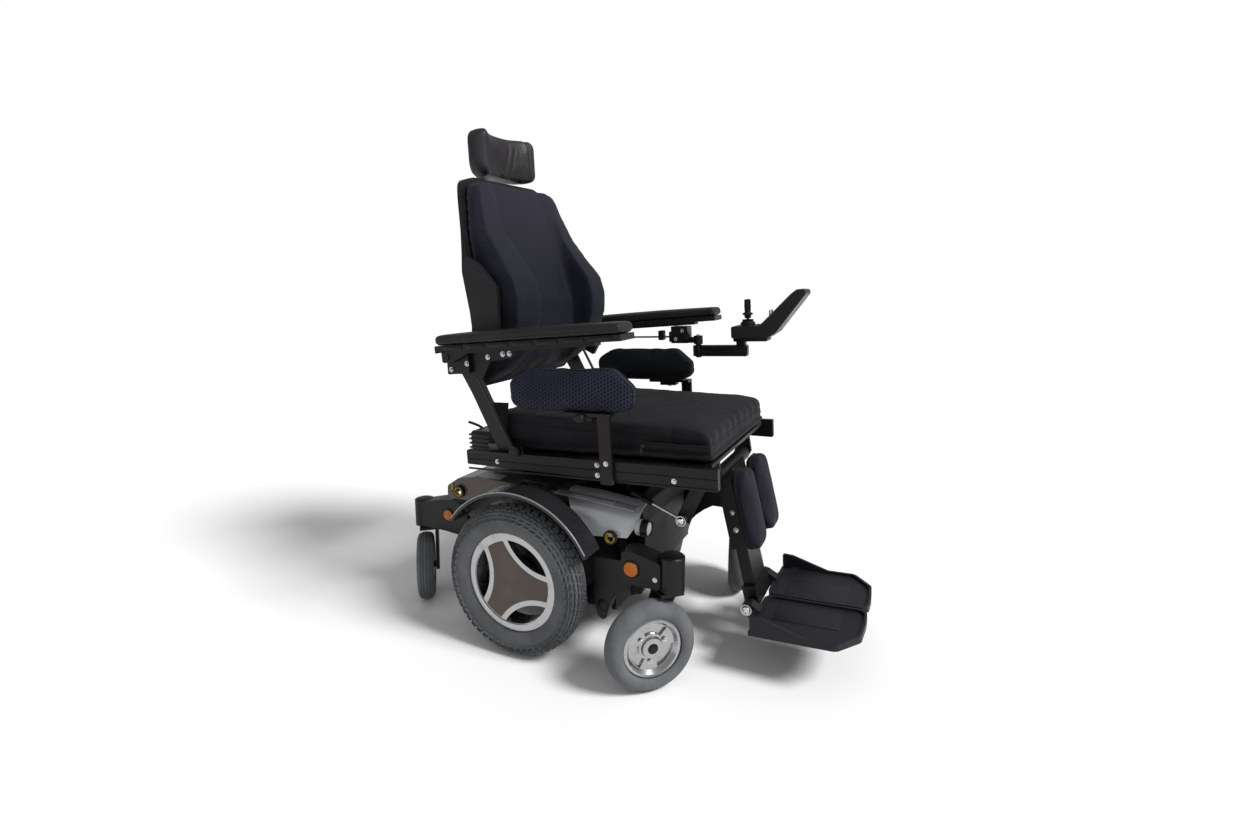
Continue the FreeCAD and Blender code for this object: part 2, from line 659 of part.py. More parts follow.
def toggle(name):
    u, y = TOGGLES[name]
    lever = pin_z(u, y, TOGGLE_PIVOT_W - 4, 752, 2.6)
    ball = Part.makeSphere(4.5, V(u, y, TOGGLE_PIVOT_W))
    return seated(join(lever, ball))


def joystick_gimbal():
    """Ring that lets the lever lean sideways; the lever leans fore and aft within it."""
    ring = pin_z(STICK[0], JOYSTICK_Y, STICK[1] - 5, STICK[1] + 5, 13)
    return seated(ring.cut(pin_z(STICK[0], JOYSTICK_Y, 690, 712, 8)))


def joystick_lever():
    u, w = STICK
    ball = Part.makeSphere(6.5, V(u, JOYSTICK_Y, w))
    stick = pin_z(u, JOYSTICK_Y, w, 752, 4)
    knob = soft_edges(pin_z(u, JOYSTICK_Y, 748, 783, 9), 4)
    return seated(join(ball, stick, knob))


CABLE_RADIUS = 3
# the cable's route in seat coordinates, from under the control box to the bar's clip
CABLE_ROUTE = [(366, 268, 678), (366, 268, 660), (352, 267, 646), (328, 266, 643),
               (300, 269, 641), (274, 269, 641)]


def cable_path(points):
    """Straight runs joined by tangent arcs, as wide as the runs allow."""
    places = [V(*p) for p in points]
    edges = []
    start = places[0]
    for before, corner, after in zip(places, places[1:], places[2:]):
        back = before - corner
        ahead = after - corner
        half = back.getAngle(ahead) / 2
        trim = 0.45 * min(back.Length, ahead.Length)
        radius = trim * math.tan(half)
        print("cable bend radius", round(radius, 1))
        towards = (V(back).normalize() + V(ahead).normalize()).normalize()
        bend_in = corner + V(back).normalize() * trim
        bend_out = corner + V(ahead).normalize() * trim
        middle = corner + towards * (radius / math.sin(half) - radius)
        edges.append(Part.LineSegment(start, bend_in).toShape())
        edges.append(Part.Arc(bend_in, middle, bend_out).toShape())
        start = bend_out
    edges.append(Part.LineSegment(start, places[-1]).toShape())
    return Part.Wire(edges)


def joystick_cable():
    path = cable_path(CABLE_ROUTE)
    start = V(*CABLE_ROUTE[0])
    along = V(*CABLE_ROUTE[1]) - start
    section = Part.Wire(Part.Circle(start, along, CABLE_RADIUS).toShape())
    cable = path.makePipeShell([section], True, False)
    print("cable volume", round(cable.Volume), "of", round(path.Length * math.pi * CABLE_RADIUS ** 2))
    return seated(cable)


# ---- thigh supports -------------------------------------------------------------
def thigh_bracket():
    """Upright bar outside the seat rail with the shelf that carries the pad."""
    bar = side_plate([(200, 408), (229, 408), (229, 563), (200, 563)], RAIL_OUTER + 2, 260, 3)
    shelf = box(110, 229, 230, 260, 557, 564)
    return seated(join(bar, shelf))


def thigh_pad(back, front, low, high):
    """Pad beside the thigh, lower at its rear end."""
    outline = [(back, low), (back, high - 26), (back + 60, high), (front - 50, high),
               (front, high - 40), (front, low + 10), (front - 30, low)]
    pad = side_plate(outline, THIGH_INNER, THIGH_OUTER, 24)
    return seated(pad)


# ---- leg support ----------------------------------------------------------------
def leg_frame():
    """Upper channel of the leg support with its hinge barrel."""
    channel = box(-21, 21, -55, 55, -188, 4)
    channel = channel.cut(box(-15, 15, -47, 47, -200, -30))
    barrel = pin_y(0, 0, -KNEE_BARREL_HALF, KNEE_BARREL_HALF, 17)
    holders = []
    for side in (-1, 1):
        y0, y1 = sorted((side * 20, side * 60))
        holders.append(box(20, 27, y0, y1, -120, -60))
    leg = join(channel, barrel, *holders)
    return on_leg(leg.cut(pin_y(0, 0, -KNEE_SHAFT_HALF, KNEE_SHAFT_HALF, LINK_PIN_RADIUS + GAP)))


def calf_pads():
    right = soft_edges(box(27 + GAP, 70, 12, 118, -185, 8), 19)
    return on_leg(both_sides(right))


def lower_leg():
    """Telescoping inner channel with the footplates' cross shaft."""
    bar = box(-14, 14, -46, 46, -LEG_LENGTH + 4, -60)
    foot = box(-16, 16, -58, 58, -LEG_LENGTH - 14, -LEG_LENGTH + 34)
    shaft = pin_y(0, -LEG_LENGTH, -104, 104, FOOT_SHAFT_RADIUS)
    return on_leg(join(bar, foot, shaft))


def footplate():
    """Plate with a raised rim, an outer side wall and a heel hinge, on the left side."""
    half = FOOT_HALF_WIDTH
    outline = [(22, 3), (252, 3), (254, 60), (250, 120), (206, half), (60, half), (22, 120)]
    plate = top_plate(outline, -20, -11, 22)
    rim = top_plate(outline, -12, -5, 22)
    rim = rim.cut(top_plate([(30, 8), (247, 8), (249, 60), (244, 116), (203, half - 6),
                             (64, half - 6), (30, 116)], -13, 0, 19))
    wall = side_plate([(26, -20), (26, 26), (52, 24), (150, -8), (150, -20)], half - 7, half, 4)
    heel = side_plate([(-12, -12), (-12, 10), (10, 12), (30, 0), (30, -20), (6, -20)],
                      72, 100, 6)
    bridge = top_plate([(22, 60), (70, 60), (70, half), (22, half)], -20, -11)
    plate = join(plate, rim, wall, heel, bridge)
    plate = plate.cut(pin_y(0, 0, 60, 110, FOOT_SHAFT_RADIUS + GAP))
    plate = plate.rotated(V(0, 0, 0), Y_AXIS, -FOOT_TOE_UP)
    angle = math.radians(LEG_ANGLE)
    shaft = V(KNEE[0] + LEG_LENGTH * math.sin(angle), 0, KNEE[1] - LEG_LENGTH * math.cos(angle))
    return plate.translated(shaft)


# ---- all nodes ------------------------------------------------------------------
def add_pair(nodes, name, left):
    nodes[name + "_left"] = left
    nodes[name + "_right"] = mirrored(left)


def build():
    nodes = {}
    nodes["chassis_frame"] = chassis_frame()
    nodes["batteries"] = batteries()
    nodes["drive_motors"] = drive_motors()
    nodes["rear_cover"] = rear_cover()
    nodes["side_covers"] = side_covers()
    nodes["wheel_fenders"] = wheel_fenders()
    nodes["headlamps"] = headlamps()
    nodes["tie_down_eyes"] = tie_down_eyes()

    wheel_place = V(0, DRIVE_TRACK, DRIVE_RADIUS)
    drive_pieces = {
        "drive_tyre": tyre(DRIVE_RADIUS, DRIVE_HALF_WIDTH, DRIVE_RIM_RADIUS),
        "drive_rim": drive_rim(),
        "rim_insert": drive_insert(),
    }
    for name, shape in drive_pieces.items():
        add_pair(nodes, name, shape.translated(wheel_place))
    add_pair(nodes, "front_arm", front_arm())
    add_pair(nodes, "rear_arm", rear_arm())

    for kind, size in CASTERS.items():
        wheel_centre = V(-size["trail"], 0, size["radius"])
        wheel_tyre = tyre(size["radius"], size["half"], size["rim"]).translated(wheel_centre)
        wheel_rim = caster_rim(size["rim"], size["half"]).translated(wheel_centre)
        for side, label in ((-1, "right"), (1, "left")):
            leg_side = -side if kind == "front" else side
            nodes[f"{kind}_fork_{label}"] = placed_caster(fork(kind, leg_side), kind, side)
            nodes[f"{kind}_caster_tyre_{label}"] = placed_caster(wheel_tyre, kind, side)
            nodes[f"{kind}_caster_rim_{label}"] = placed_caster(wheel_rim, kind, side)

    nodes["lift_carriage"] = lift_carriage()
    nodes["seat_frame"] = seat_frame()
    nodes["seat_cushion"] = seat_cushion()
    nodes["rear_electronics_box"] = rear_electronics_box()
    nodes["back_shell"] = back_shell()
    nodes["back_cushion"] = back_cushion()
    nodes["headrest_mount"] = headrest_mount()
    nodes["headrest_pad"] = headrest_pad()
    nodes["arm_hinge_brackets"] = arm_hinge_brackets()
    nodes["arm_link_rods"] = arm_link_rods()
    nodes["arm_frame_left"] = arm_frame(True)
    nodes["arm_frame_right"] = mirrored(arm_frame(False))
    add_pair(nodes, "arm_pad", arm_pad())

    nodes["joystick_swing_arm"] = joystick_swing_arm()
    nodes["joystick_housing"] = joystick_housing()
    nodes["joystick_gimbal"] = joystick_gimbal()
    nodes["joystick_lever"] = joystick_lever()
    for name in TOGGLES:
        nodes[name] = toggle(name)
    nodes["joystick_cable"] = joystick_cable()

    add_pair(nodes, "thigh_bracket", thigh_bracket())
    nodes["thigh_pad_left"] = thigh_pad(-57, 249, 566, 660)
    nodes["thigh_pad_right"] = mirrored(thigh_pad(-38, 287, 566, 666))

    nodes["leg_frame"] = leg_frame()
    nodes["lower_leg"] = lower_leg()
    nodes["calf_pads"] = calf_pads()
    add_pair(nodes, "footplate", footplate())
    return nodes


os.makedirs("parts", exist_ok=True)
for node_name, node_shape in build().items():
    if not node_shape.isValid() or node_shape.Volume <= 0:
        print("invalid", node_name, node_shape.Volume)
    node_shape.exportStep(f"parts/{node_name}.step")
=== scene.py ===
"""Powered wheelchair: finishes, upholstery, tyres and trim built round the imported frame."""
import math

import bmesh
import bpy
from bpy.props import FloatProperty, FloatVectorProperty, IntProperty, PointerProperty
from mathutils import Matrix, Vector


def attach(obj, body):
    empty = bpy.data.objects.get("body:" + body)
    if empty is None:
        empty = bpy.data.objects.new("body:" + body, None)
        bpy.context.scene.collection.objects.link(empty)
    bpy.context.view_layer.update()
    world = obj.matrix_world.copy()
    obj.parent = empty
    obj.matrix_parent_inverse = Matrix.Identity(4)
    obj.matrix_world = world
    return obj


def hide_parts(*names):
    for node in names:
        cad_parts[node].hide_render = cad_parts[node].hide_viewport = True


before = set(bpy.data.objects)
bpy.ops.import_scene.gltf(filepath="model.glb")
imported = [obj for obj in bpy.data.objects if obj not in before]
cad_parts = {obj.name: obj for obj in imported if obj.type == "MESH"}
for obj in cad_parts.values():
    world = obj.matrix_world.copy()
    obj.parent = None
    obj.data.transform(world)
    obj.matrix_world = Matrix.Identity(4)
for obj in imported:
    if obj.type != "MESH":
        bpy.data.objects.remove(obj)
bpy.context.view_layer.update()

bl_info = {
    "name": "Powered wheelchair",
    "version": (1, 0, 0),
    "blender": (4, 5, 0),
    "location": "View3D > Sidebar > Wheelchair",
    "description": "Dresses the powered wheelchair's frame with upholstery, tyres and trim",
    "category": "Object",
}

MM = 0.001
SIDES = {"right": -1, "left": 1}

# ---- places ---------------------------------------------------------------------
SEAT_LEAN = math.radians(-3.0)
SEAT_DATUM = Vector((0, 0, 0.400))
ARM_HINGE = Vector((-0.165, 0, 0.690))
ARM_SLOPE = math.radians(-2.6)
KNEE = Vector((0.412, 0, 0.418))
LEG_LEAN = math.radians(-14.1)
FOOT_SHAFT = Vector((0.488, 0, 0.1154))
FOOT_TOE_UP = math.radians(-3.0)
DRIVE_CENTRE = Vector((0, 0.300, 0.1775))
LIGHT_SPREAD = 18.0                       # degrees across the main light
LIGHT_AIM = (-1.0, 0.04, -0.98)
LENS = 18.54                              # millimetres, on a 36 mm sensor
CAMERA_PLACE = (0.830, -1.451, 0.875)
CAMERA_TURN = (25.02, 8.44)               # degrees round from the side, and above level
CASTERS = {
    # stem x and y, trail and wheel radius in metres, swivel of the right and left wheel
    "front": (0.369, 0.263, 0.050, 0.100, {"right": 45, "left": 104}),
    "rear": (-0.400, 0.160, 0.040, 0.089, {"right": 130, "left": -130}),
}


def turned_about(point, angle):
    """The matrix that leans a piece about a point, round the sideways axis."""
    return Matrix.Translation(point) @ Matrix.Rotation(angle, 4, "Y") @ Matrix.Translation(-point)


LEVEL = Matrix.Identity(4)
SEAT = turned_about(SEAT_DATUM, SEAT_LEAN)
ARM = SEAT @ turned_about(ARM_HINGE, ARM_SLOPE)
LEG = Matrix.Translation(KNEE) @ Matrix.Rotation(LEG_LEAN, 4, "Y")
FOOT = Matrix.Translation(FOOT_SHAFT) @ Matrix.Rotation(FOOT_TOE_UP, 4, "Y")


def caster_place(kind, side):
    x, y, trail, radius, swivel = CASTERS[kind]
    turn = Matrix.Rotation(math.radians(swivel[side]), 4, "Z")
    stem = Matrix.Translation((x, SIDES[side] * y, 0))
    return stem @ turn @ Matrix.Translation((-trail, 0, radius))


def mm(x, y, z):
    return Vector((x, y, z)) * MM


# ---- shader writing -------------------------------------------------------------
class Value:
    """A shader socket that plain arithmetic turns into Math nodes."""

    def __init__(self, finish, socket):
        self.finish = finish
        self.socket = socket

    def math(self, operation, *others):
        values = dict(enumerate((self,) + others))
        return self.finish.add("Math", {"operation": operation}, values)

    def __add__(self, other):
        return self.math("ADD", other)

    def __mul__(self, other):
        return self.math("MULTIPLY", other)

    def __sub__(self, other):
        return self.math("SUBTRACT", other)

    def __rsub__(self, other):
        return self.finish.add("Math", {"operation": "SUBTRACT"}, {0: other, 1: self})

    def __pow__(self, other):
        return self.math("POWER", other)

    __radd__ = __add__
    __rmul__ = __mul__


class Finish:
    """One material: add() makes any node, and set() feeds the main shader."""

    def __init__(self, name, **constants):
        self.material = bpy.data.materials.new(name)
        self.material.use_nodes = True
        self.tree = self.material.node_tree
        self.shader = self.tree.nodes["Principled BSDF"]
        self.place = self.add("TexCoord", out="Object")
        self.set(**constants)

    def add(self, kind, settings=None, sockets=None, out=0):
        node = self.tree.nodes.new("ShaderNode" + kind)
        for key, value in (settings or {}).items():
            if key == "stops":
                self.ramp_stops(node.color_ramp, value)
            else:
                setattr(node, key, value)
        for key, value in (sockets or {}).items():
            self.feed(node.inputs[key], value)
        return Value(self, node.outputs[out])

    def ramp_stops(self, ramp, stops):
        while len(ramp.elements) < len(stops):
            ramp.elements.new(1.0)
        for stop, (position, colour) in zip(ramp.elements, stops):
            stop.position = position
            stop.color = colour

    def feed(self, socket, value):
        if isinstance(value, Value):
            self.tree.links.new(value.socket, socket)
        else:
            socket.default_value = value

    def set(self, **sockets):
        for key, value in sockets.items():
            self.feed(self.shader.inputs[key.replace("_", " ")], value)

    def noise(self, scale, detail=3.0, stretch=None, roughness=0.5):
        place = self.place
        if stretch:
            place = self.add("Mapping", None, {"Vector": place, "Scale": stretch})
        sockets = {"Vector": place, "Scale": scale, "Detail": detail, "Roughness": roughness}
        return self.add("TexNoise", None, sockets)

    def step(self, value, low, high):
        """0 below low, 1 above high and a smooth rise between."""
        sockets = {"Value": value, "From Min": low, "From Max": high}
        return self.add("MapRange", {"interpolation_type": "SMOOTHSTEP"}, sockets)

    def mix(self, factor, one, other):
        return self.add("Mix", {"data_type": "RGBA"}, {0: factor, 6: one, 7: other}, out=2)

    def axes(self):
        node = self.add("SeparateXYZ", None, {0: self.place}).socket.node
        return [Value(self, socket) for socket in node.outputs]

    def bump(self, height, depth, strength=1.0):
        sockets = {"Height": height, "Distance": depth, "Strength": strength}
        self.set(Normal=self.add("Bump", None, sockets))


def shade(colour, factor):
    return (colour[0] * factor, colour[1] * factor, colour[2] * factor, 1.0)


def painted(name, colour, roughness, metallic=0.0, coat=0.0, wear=0.25):
    """Powder coat or paint: fine orange peel, dust in patches and rubbed spots."""
    finish = Finish(name, Metallic=metallic, Coat_Weight=coat, Coat_Roughness=0.2,
                    Specular_IOR_Level=0.28)
    dust = finish.step(finish.noise(11, 5), 0.48, 0.72)
    rub = finish.step(finish.noise(75, 6, roughness=0.7), 0.62, 0.72)
    base = finish.mix(dust, shade(colour, 0.85), shade(colour, 1.3))
    finish.set(Base_Color=finish.mix(rub * wear, base, shade(colour, 2.6)))
    finish.set(Roughness=dust * 0.10 + rub * 0.10 + (roughness - 0.04))
    finish.bump(finish.noise(900, 2), 0.00010)
    return finish.material


def moulded(name, colour, roughness, grain=1500, depth=0.00018, coat=0.0):
    """Moulded plastic: pebbled grain, faint flow marks and handling shine."""
    finish = Finish(name, Coat_Weight=coat, Coat_Roughness=0.25, Specular_IOR_Level=0.25)
    flow = finish.step(finish.noise(7, 4, stretch=(1, 1, 2.5)), 0.35, 0.7)
    finish.set(Base_Color=finish.mix(flow, shade(colour, 0.82), shade(colour, 1.2)))
    pebbles = finish.add("TexVoronoi", {"feature": "F1"}, {"Vector": finish.place, "Scale": grain})
    finish.set(Roughness=flow * 0.12 + (roughness - 0.06))
    finish.bump(pebbles, depth)
    return finish.material


def bright_metal(name, colour, roughness, brushed=0.3):
    finish = Finish(name, Metallic=1.0)
    streaks = finish.noise(60, 6, stretch=(1, 1, 14), roughness=0.65)
    smudge = finish.step(finish.noise(24, 4), 0.4, 0.75)
    finish.set(Base_Color=finish.mix(smudge, shade(colour, 1.0), shade(colour, 0.82)))
    finish.set(Roughness=streaks * brushed * 0.3 + smudge * 0.12 + roughness)
    finish.bump(streaks, 0.00004)
    return finish.material


def cast_silver(name, colour, roughness, metallic, stain=0.35):
    """Silver-painted casting: fine sparkle with brake dust and scuffs."""
    finish = Finish(name, Metallic=metallic, Coat_Weight=0.25, Coat_Roughness=0.2)
    sparkle = finish.noise(2600, 1)
    dirt = finish.step(finish.noise(26, 6, roughness=0.65), 0.48, 0.78)
    base = finish.mix(sparkle, shade(colour, 0.86), shade(colour, 1.12))
    finish.set(Base_Color=finish.mix(dirt * stain, base, shade(colour, 0.42)))
    finish.set(Roughness=dirt * 0.16 + roughness)
    finish.bump(finish.noise(420, 3), 0.00008)
    return finish.material


def rubber(name, colour, streak=0.3):
    """Grey tyre rubber: mould bloom, floor dust and faint scuffs."""
    finish = Finish(name, Specular_IOR_Level=0.2)
    bloom = finish.step(finish.noise(14, 5, roughness=0.62), 0.3, 0.75)
    scuff = finish.step(finish.noise(130, 6, roughness=0.72), 0.56, 0.7)
    base = finish.mix(bloom, shade(colour, 0.78), shade(colour, 1.22))
    finish.set(Base_Color=finish.mix(scuff * streak, base, shade(colour, 1.7)))
    finish.set(Roughness=bloom * 0.15 + 0.66)
    finish.bump(finish.noise(700, 4, roughness=0.6), 0.00025)
    return finish.material


def woven(name, colour, pitch, sheen=0.05, wrinkle=0.0012, roughness=0.72):
    """Closely woven cloth: crossing threads, lint and soft wrinkles."""
    finish = Finish(name, Sheen_Weight=sheen, Sheen_Roughness=0.4, Specular_IOR_Level=0.16)
    turns = 2 * math.pi / pitch
    threads = [(axis * turns).math("SINE") for axis in finish.axes()]
    weave = (threads[0] + threads[1] + threads[2]) * 0.17 + 0.5
    lint = finish.step(finish.noise(420, 5, roughness=0.7), 0.5, 0.78)
    fade = finish.step(finish.noise(6.5, 4), 0.3, 0.72)
    base = finish.mix(fade, shade(colour, 0.72), shade(colour, 1.35))
    base = finish.mix(weave * 0.55, base, shade(colour, 0.45))
    finish.set(Base_Color=finish.mix(lint * 0.3, base, shade(colour, 2.2)))
    finish.set(Roughness=weave * 0.12 + roughness)
    folds = finish.noise(13, 4, stretch=(1.0, 0.55, 1.0), roughness=0.55)
    finish.bump(weave * (0.12 * MM / wrinkle) + folds * 2.2, wrinkle)
    return finish.material


def stretch_knit(name, colour, top_light_colour):
    """Ribbed stretch cover that gathers into upright creases, with painted light that makes its
    top part lighter and more purple.
    """
    finish = Finish(name, Sheen_Weight=0.06, Sheen_Roughness=0.35, Specular_IOR_Level=0.12)
    x, y, z = finish.axes()
    rib = (y * (2 * math.pi / 0.0021)).math("SINE") * 0.5 + 0.5
    course = (z * (2 * math.pi / 0.0016)).math("SINE") * 0.5 + 0.5
    # painted light: the cover is painted lighter and more purple towards the top
    top_light = finish.step(z, 0.80, 1.06)
    fade = finish.step(finish.noise(7, 4), 0.3, 0.72)
    base = finish.mix(fade, shade(colour, 0.8), shade(colour, 1.25))
    base = finish.mix(top_light * 0.85, base, shade(top_light_colour, 1.0))
    finish.set(Base_Color=finish.mix(rib * course * 0.4, base, shade(colour, 0.5)))
    finish.set(Roughness=fade * 0.12 + 0.68)
    creases = finish.noise(15, 3, stretch=(1.0, 1.4, 0.16), roughness=0.45)
    finish.bump(rib * 0.05 + course * 0.05 + creases * 1.6, 0.0016)
    return finish.material


def spacer_mesh(name, colour, cell):
    """Open honeycomb knit over a darker layer."""
    finish = Finish(name, Sheen_Weight=0.05, Sheen_Roughness=0.4, Specular_IOR_Level=0.12)
    x, y, z = finish.axes()
    across = (x + y * 0.6) * (2 * math.pi / cell)
    upward = (z + y * 0.8) * (2 * math.pi / cell)
    dots = across.math("COSINE")
    for sign in (-1, 1):
        dots = dots + (across * 0.5 + upward * (sign * 0.866)).math("COSINE")
    hole = finish.step(dots, 0.1, 1.9)
    fibre = finish.noise(1300, 3)
    fade = finish.step(finish.noise(8, 4), 0.3, 0.7)
    thread = finish.mix(fade, shade(colour, 0.9), shade(colour, 1.5))
    finish.set(Base_Color=finish.mix(hole, thread, shade(colour, 0.28)))
    finish.set(Roughness=hole * 0.15 + 0.66)
    finish.bump((1 - hole) * 0.7 + fibre * 0.25, 0.0009)
    return finish.material


def leather(name, colour, roughness, pore=520):
    """Soft leatherette: pebble cells, fine pores and rubbed sheen."""
    finish = Finish(name, Coat_Weight=0.06, Coat_Roughness=0.35, Specular_IOR_Level=0.3)
    cells = finish.add("TexVoronoi", {"feature": "DISTANCE_TO_EDGE"},
                       {"Vector": finish.place, "Scale": pore})
    pores = finish.noise(1900, 2)
    rub = finish.step(finish.noise(12, 5), 0.4, 0.72)
    base = finish.mix(rub, shade(colour, 0.8), shade(colour, 1.35))
    finish.set(Base_Color=finish.mix(finish.step(cells, 0.0, 0.1), shade(colour, 0.45), base))
    finish.set(Roughness=(1 - rub) * 0.14 + roughness)
    folds = finish.noise(22, 3)
    finish.bump(finish.step(cells, 0.0, 0.25) * 0.3 + pores * 0.12 + folds * 0.9, 0.0005)
    return finish.material


def lens(name, colour, rib):
    """Moulded lamp or reflector lens with fine prisms."""
    finish = Finish(name, Coat_Weight=0.15, Coat_Roughness=0.08, Specular_IOR_Level=0.2)
    x, y, z = finish.axes()
    prisms = (y * rib).math("SINE") * (z * rib).math("SINE") * (x * rib).math("COSINE")
    prisms = prisms * 0.5 + 0.5
    finish.set(Base_Color=finish.mix(prisms, shade(colour, 0.62), shade(colour, 1.3)))
    finish.set(Roughness=prisms * 0.1 + 0.14)
    finish.bump(prisms, 0.0004)
    return finish.material


def ringed_steel(name, colour, centres, radius):
    """Black steel plates with a painted ring round each hole."""
    finish = Finish(name, Specular_IOR_Level=0.3)
    x, y, z = finish.axes()
    near = None
    for along, up in centres:
        square = (x - along) ** 2.0 + (z - up) ** 2.0
        near = square if near is None else near.math("MINIMUM", square)
    ring = 1 - finish.step(near ** 0.5, radius, radius + 0.0006)
    worn = finish.step(finish.noise(160, 5), 0.35, 0.6)
    finish.set(Base_Color=finish.mix(ring * worn, (0.007, 0.0068, 0.007, 1), shade(colour, 1)))
    finish.set(Roughness=worn * 0.15 + 0.36)
    finish.bump(finish.noise(600, 3), 0.00008)
    return finish.material


def screen_glass(name):
    finish = Finish(name, Coat_Weight=1.0, Coat_Roughness=0.05)
    smear = finish.step(finish.noise(70, 5), 0.4, 0.75)
    finish.set(Base_Color=finish.mix(smear, (0.008, 0.009, 0.012, 1), (0.02, 0.022, 0.028, 1)))
    finish.set(Roughness=smear * 0.12 + 0.08)
    finish.bump(finish.noise(300, 2), 0.00002)
    return finish.material


# ---- shared making --------------------------------------------------------------
FINISHES = {}


def finish_of(name):
    if name not in FINISHES:
        raise RuntimeError(f"run the finishes operator first: no finish named {name}")
    return FINISHES[name]


def settings():
    return bpy.context.scene.wheelchair


def place_piece(name, bm, body, finish, matrix=LEVEL, sharp=32):
    """Turns a bmesh into a piece that rides on a body, with its place in its mesh."""
    bmesh.ops.remove_doubles(bm, verts=bm.verts, dist=1e-6)
    bmesh.ops.transform(bm, matrix=matrix, verts=bm.verts)
    bmesh.ops.recalc_face_normals(bm, faces=bm.faces)
    mesh = bpy.data.meshes.new(name)
    bm.to_mesh(mesh)
    bm.free()
    return place_mesh(name, mesh, body, finish, sharp)


def place_mesh(name, mesh, body, finish, sharp=32):
    mesh.shade_smooth()
    if sharp:
        mesh.set_sharp_from_angle(angle=math.radians(sharp))
    mesh.materials.clear()
    mesh.materials.append(finish_of(finish))
    piece = bpy.data.objects.new(name, mesh)
    bpy.context.scene.collection.objects.link(piece)
    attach(piece, body)
    return piece


def add_block(bm, low, high, bevel=0.0, segments=2):
    """A box between two corners in millimetres, with rounded edges."""
    low = Vector(low)
    high = Vector(high)
    verts = bmesh.ops.create_cube(bm, size=1.0)["verts"]
    bmesh.ops.scale(bm, vec=(high - low) * MM, verts=verts)
    bmesh.ops.translate(bm, vec=(low + high) / 2 * MM, verts=verts)
    if bevel:
        edges = list({edge for vert in verts for edge in vert.link_edges})
        made = bmesh.ops.bevel(bm, geom=edges, offset=bevel * MM, segments=segments,
                               affect="EDGES", profile=0.5, material=-1, clamp_overlap=True)
        verts = list({vert for face in made["faces"] for vert in face.verts})
    return verts


def add_turned(bm, profile, centre, axis, steps=32):
    """A turned piece: profile pairs are radius and height along the axis, millimetres."""
    before = set(bm.verts)
    points = [bm.verts.new((radius * MM, 0, height * MM)) for radius, height in profile]
    edges = [bm.edges.new(pair) for pair in zip(points, points[1:])]
    bmesh.ops.spin(bm, geom=points + edges, cent=(0, 0, 0), axis=(0, 0, 1),
                   angle=2 * math.pi, steps=steps, use_merge=True)
    verts = [vert for vert in bm.verts if vert not in before]
    turn = Vector((0, 0, 1)).rotation_difference(Vector(axis)).to_matrix().to_4x4()
    matrix = Matrix.Translation(Vector(centre) * MM) @ turn
    bmesh.ops.transform(bm, matrix=matrix, verts=verts)
    return verts


def turned_part(profile, steps=32):
    bm = bmesh.new()
    add_turned(bm, profile, (0, 0, 0), (0, 0, 1), steps)
    return bm


def bolt_profile(radius, height):
    return [(0, height * 0.55), (radius * 0.42, height * 0.55), (radius * 0.46, height),
            (radius * 0.85, height * 0.95), (radius, height * 0.6), (radius, 0.0),
            (radius * 1.45, 0.0), (radius * 1.45, -height * 0.35), (0, -height * 0.35)]


def add_bolts(bm, places, radius, height, axis):
    for place in places:
        add_turned(bm, bolt_profile(radius, height), place, axis, 16)


def tube_mesh(name, points, radius, cyclic=False, smooth=True, resolution=3):
    """A round strip along a smooth line through metres points."""
    data = bpy.data.curves.new(name, "CURVE")
    data.dimensions = "3D"
    data.resolution_u = 6
    spline = data.splines.new("NURBS" if smooth else "POLY")
    spline.points.add(len(points) - 1)
    for point, place in zip(spline.points, points):
        point.co = (*place, 1.0)
    spline.use_cyclic_u = cyclic
    if smooth:
        spline.order_u = 3
        spline.use_endpoint_u = not cyclic
    data.bevel_depth = radius
    data.bevel_resolution = resolution
    data.use_fill_caps = not cyclic
    curve = bpy.data.objects.new(name, data)
    bpy.context.scene.collection.objects.link(curve)
    bpy.context.view_layer.update()
    evaluated = curve.evaluated_get(bpy.context.evaluated_depsgraph_get())
    mesh = bpy.data.meshes.new_from_object(evaluated)
    mesh.name = name
    bpy.data.objects.remove(curve)
    bm = bmesh.new()
    bm.from_mesh(mesh)
    bmesh.ops.remove_doubles(bm, verts=bm.verts, dist=1e-6)
    bmesh.ops.recalc_face_normals(bm, faces=bm.faces)
    bm.to_mesh(mesh)
    bm.free()
    return mesh


def place_tube(name, points, radius, body, finish, slot=None, matrix=LEVEL, **options):
    places = [matrix @ mm(*point) for point in points]
    mesh = tube_mesh(name, places, radius * MM, **options)
    return place_mesh(name, mesh, body, finish, 40)


# ---- soft pieces ----------------------------------------------------------------
def reach(verts):
    low = Vector(min(vert.co[axis] for vert in verts) for axis in range(3))
    high = Vector(max(vert.co[axis] for vert in verts) for axis in range(3))
    return low, high


def round_ends(verts, along, across, share, depth):
    """Narrows the two ends of a pad into half ovals over a share of its length."""
    low, high = reach(verts)
    middle, half = (low + high) / 2, (high - low) / 2
    for vert in verts:
        past = abs(vert.co[along] - middle[along]) / half[along] - (1 - share)
        if past > 0:
            narrow = math.sqrt(1 - depth * min(1.0, past / share) ** 2)
            offset = vert.co[across] - middle[across]
            vert.co[across] = middle[across] + offset * narrow


def relax(bm, rounds, ends):
    """Rounds a skin's corners, then stretches it back to the box it filled."""
    if ends:
        round_ends(bm.verts, *ends)
    low, high = reach(bm.verts)
    for _ in range(rounds):
        bmesh.ops.smooth_vert(bm, verts=bm.verts, factor=0.5, use_axis_x=True,
                              use_axis_y=True, use_axis_z=True)
    small_low, small_high = reach(bm.verts)
    size, small = high - low, small_high - small_low
    grow = Vector(size[axis] / small[axis] for axis in range(3))
    bmesh.ops.translate(bm, vec=-small_low, verts=bm.verts)
    bmesh.ops.scale(bm, vec=grow, verts=bm.verts)
    bmesh.ops.translate(bm, vec=low, verts=bm.verts)


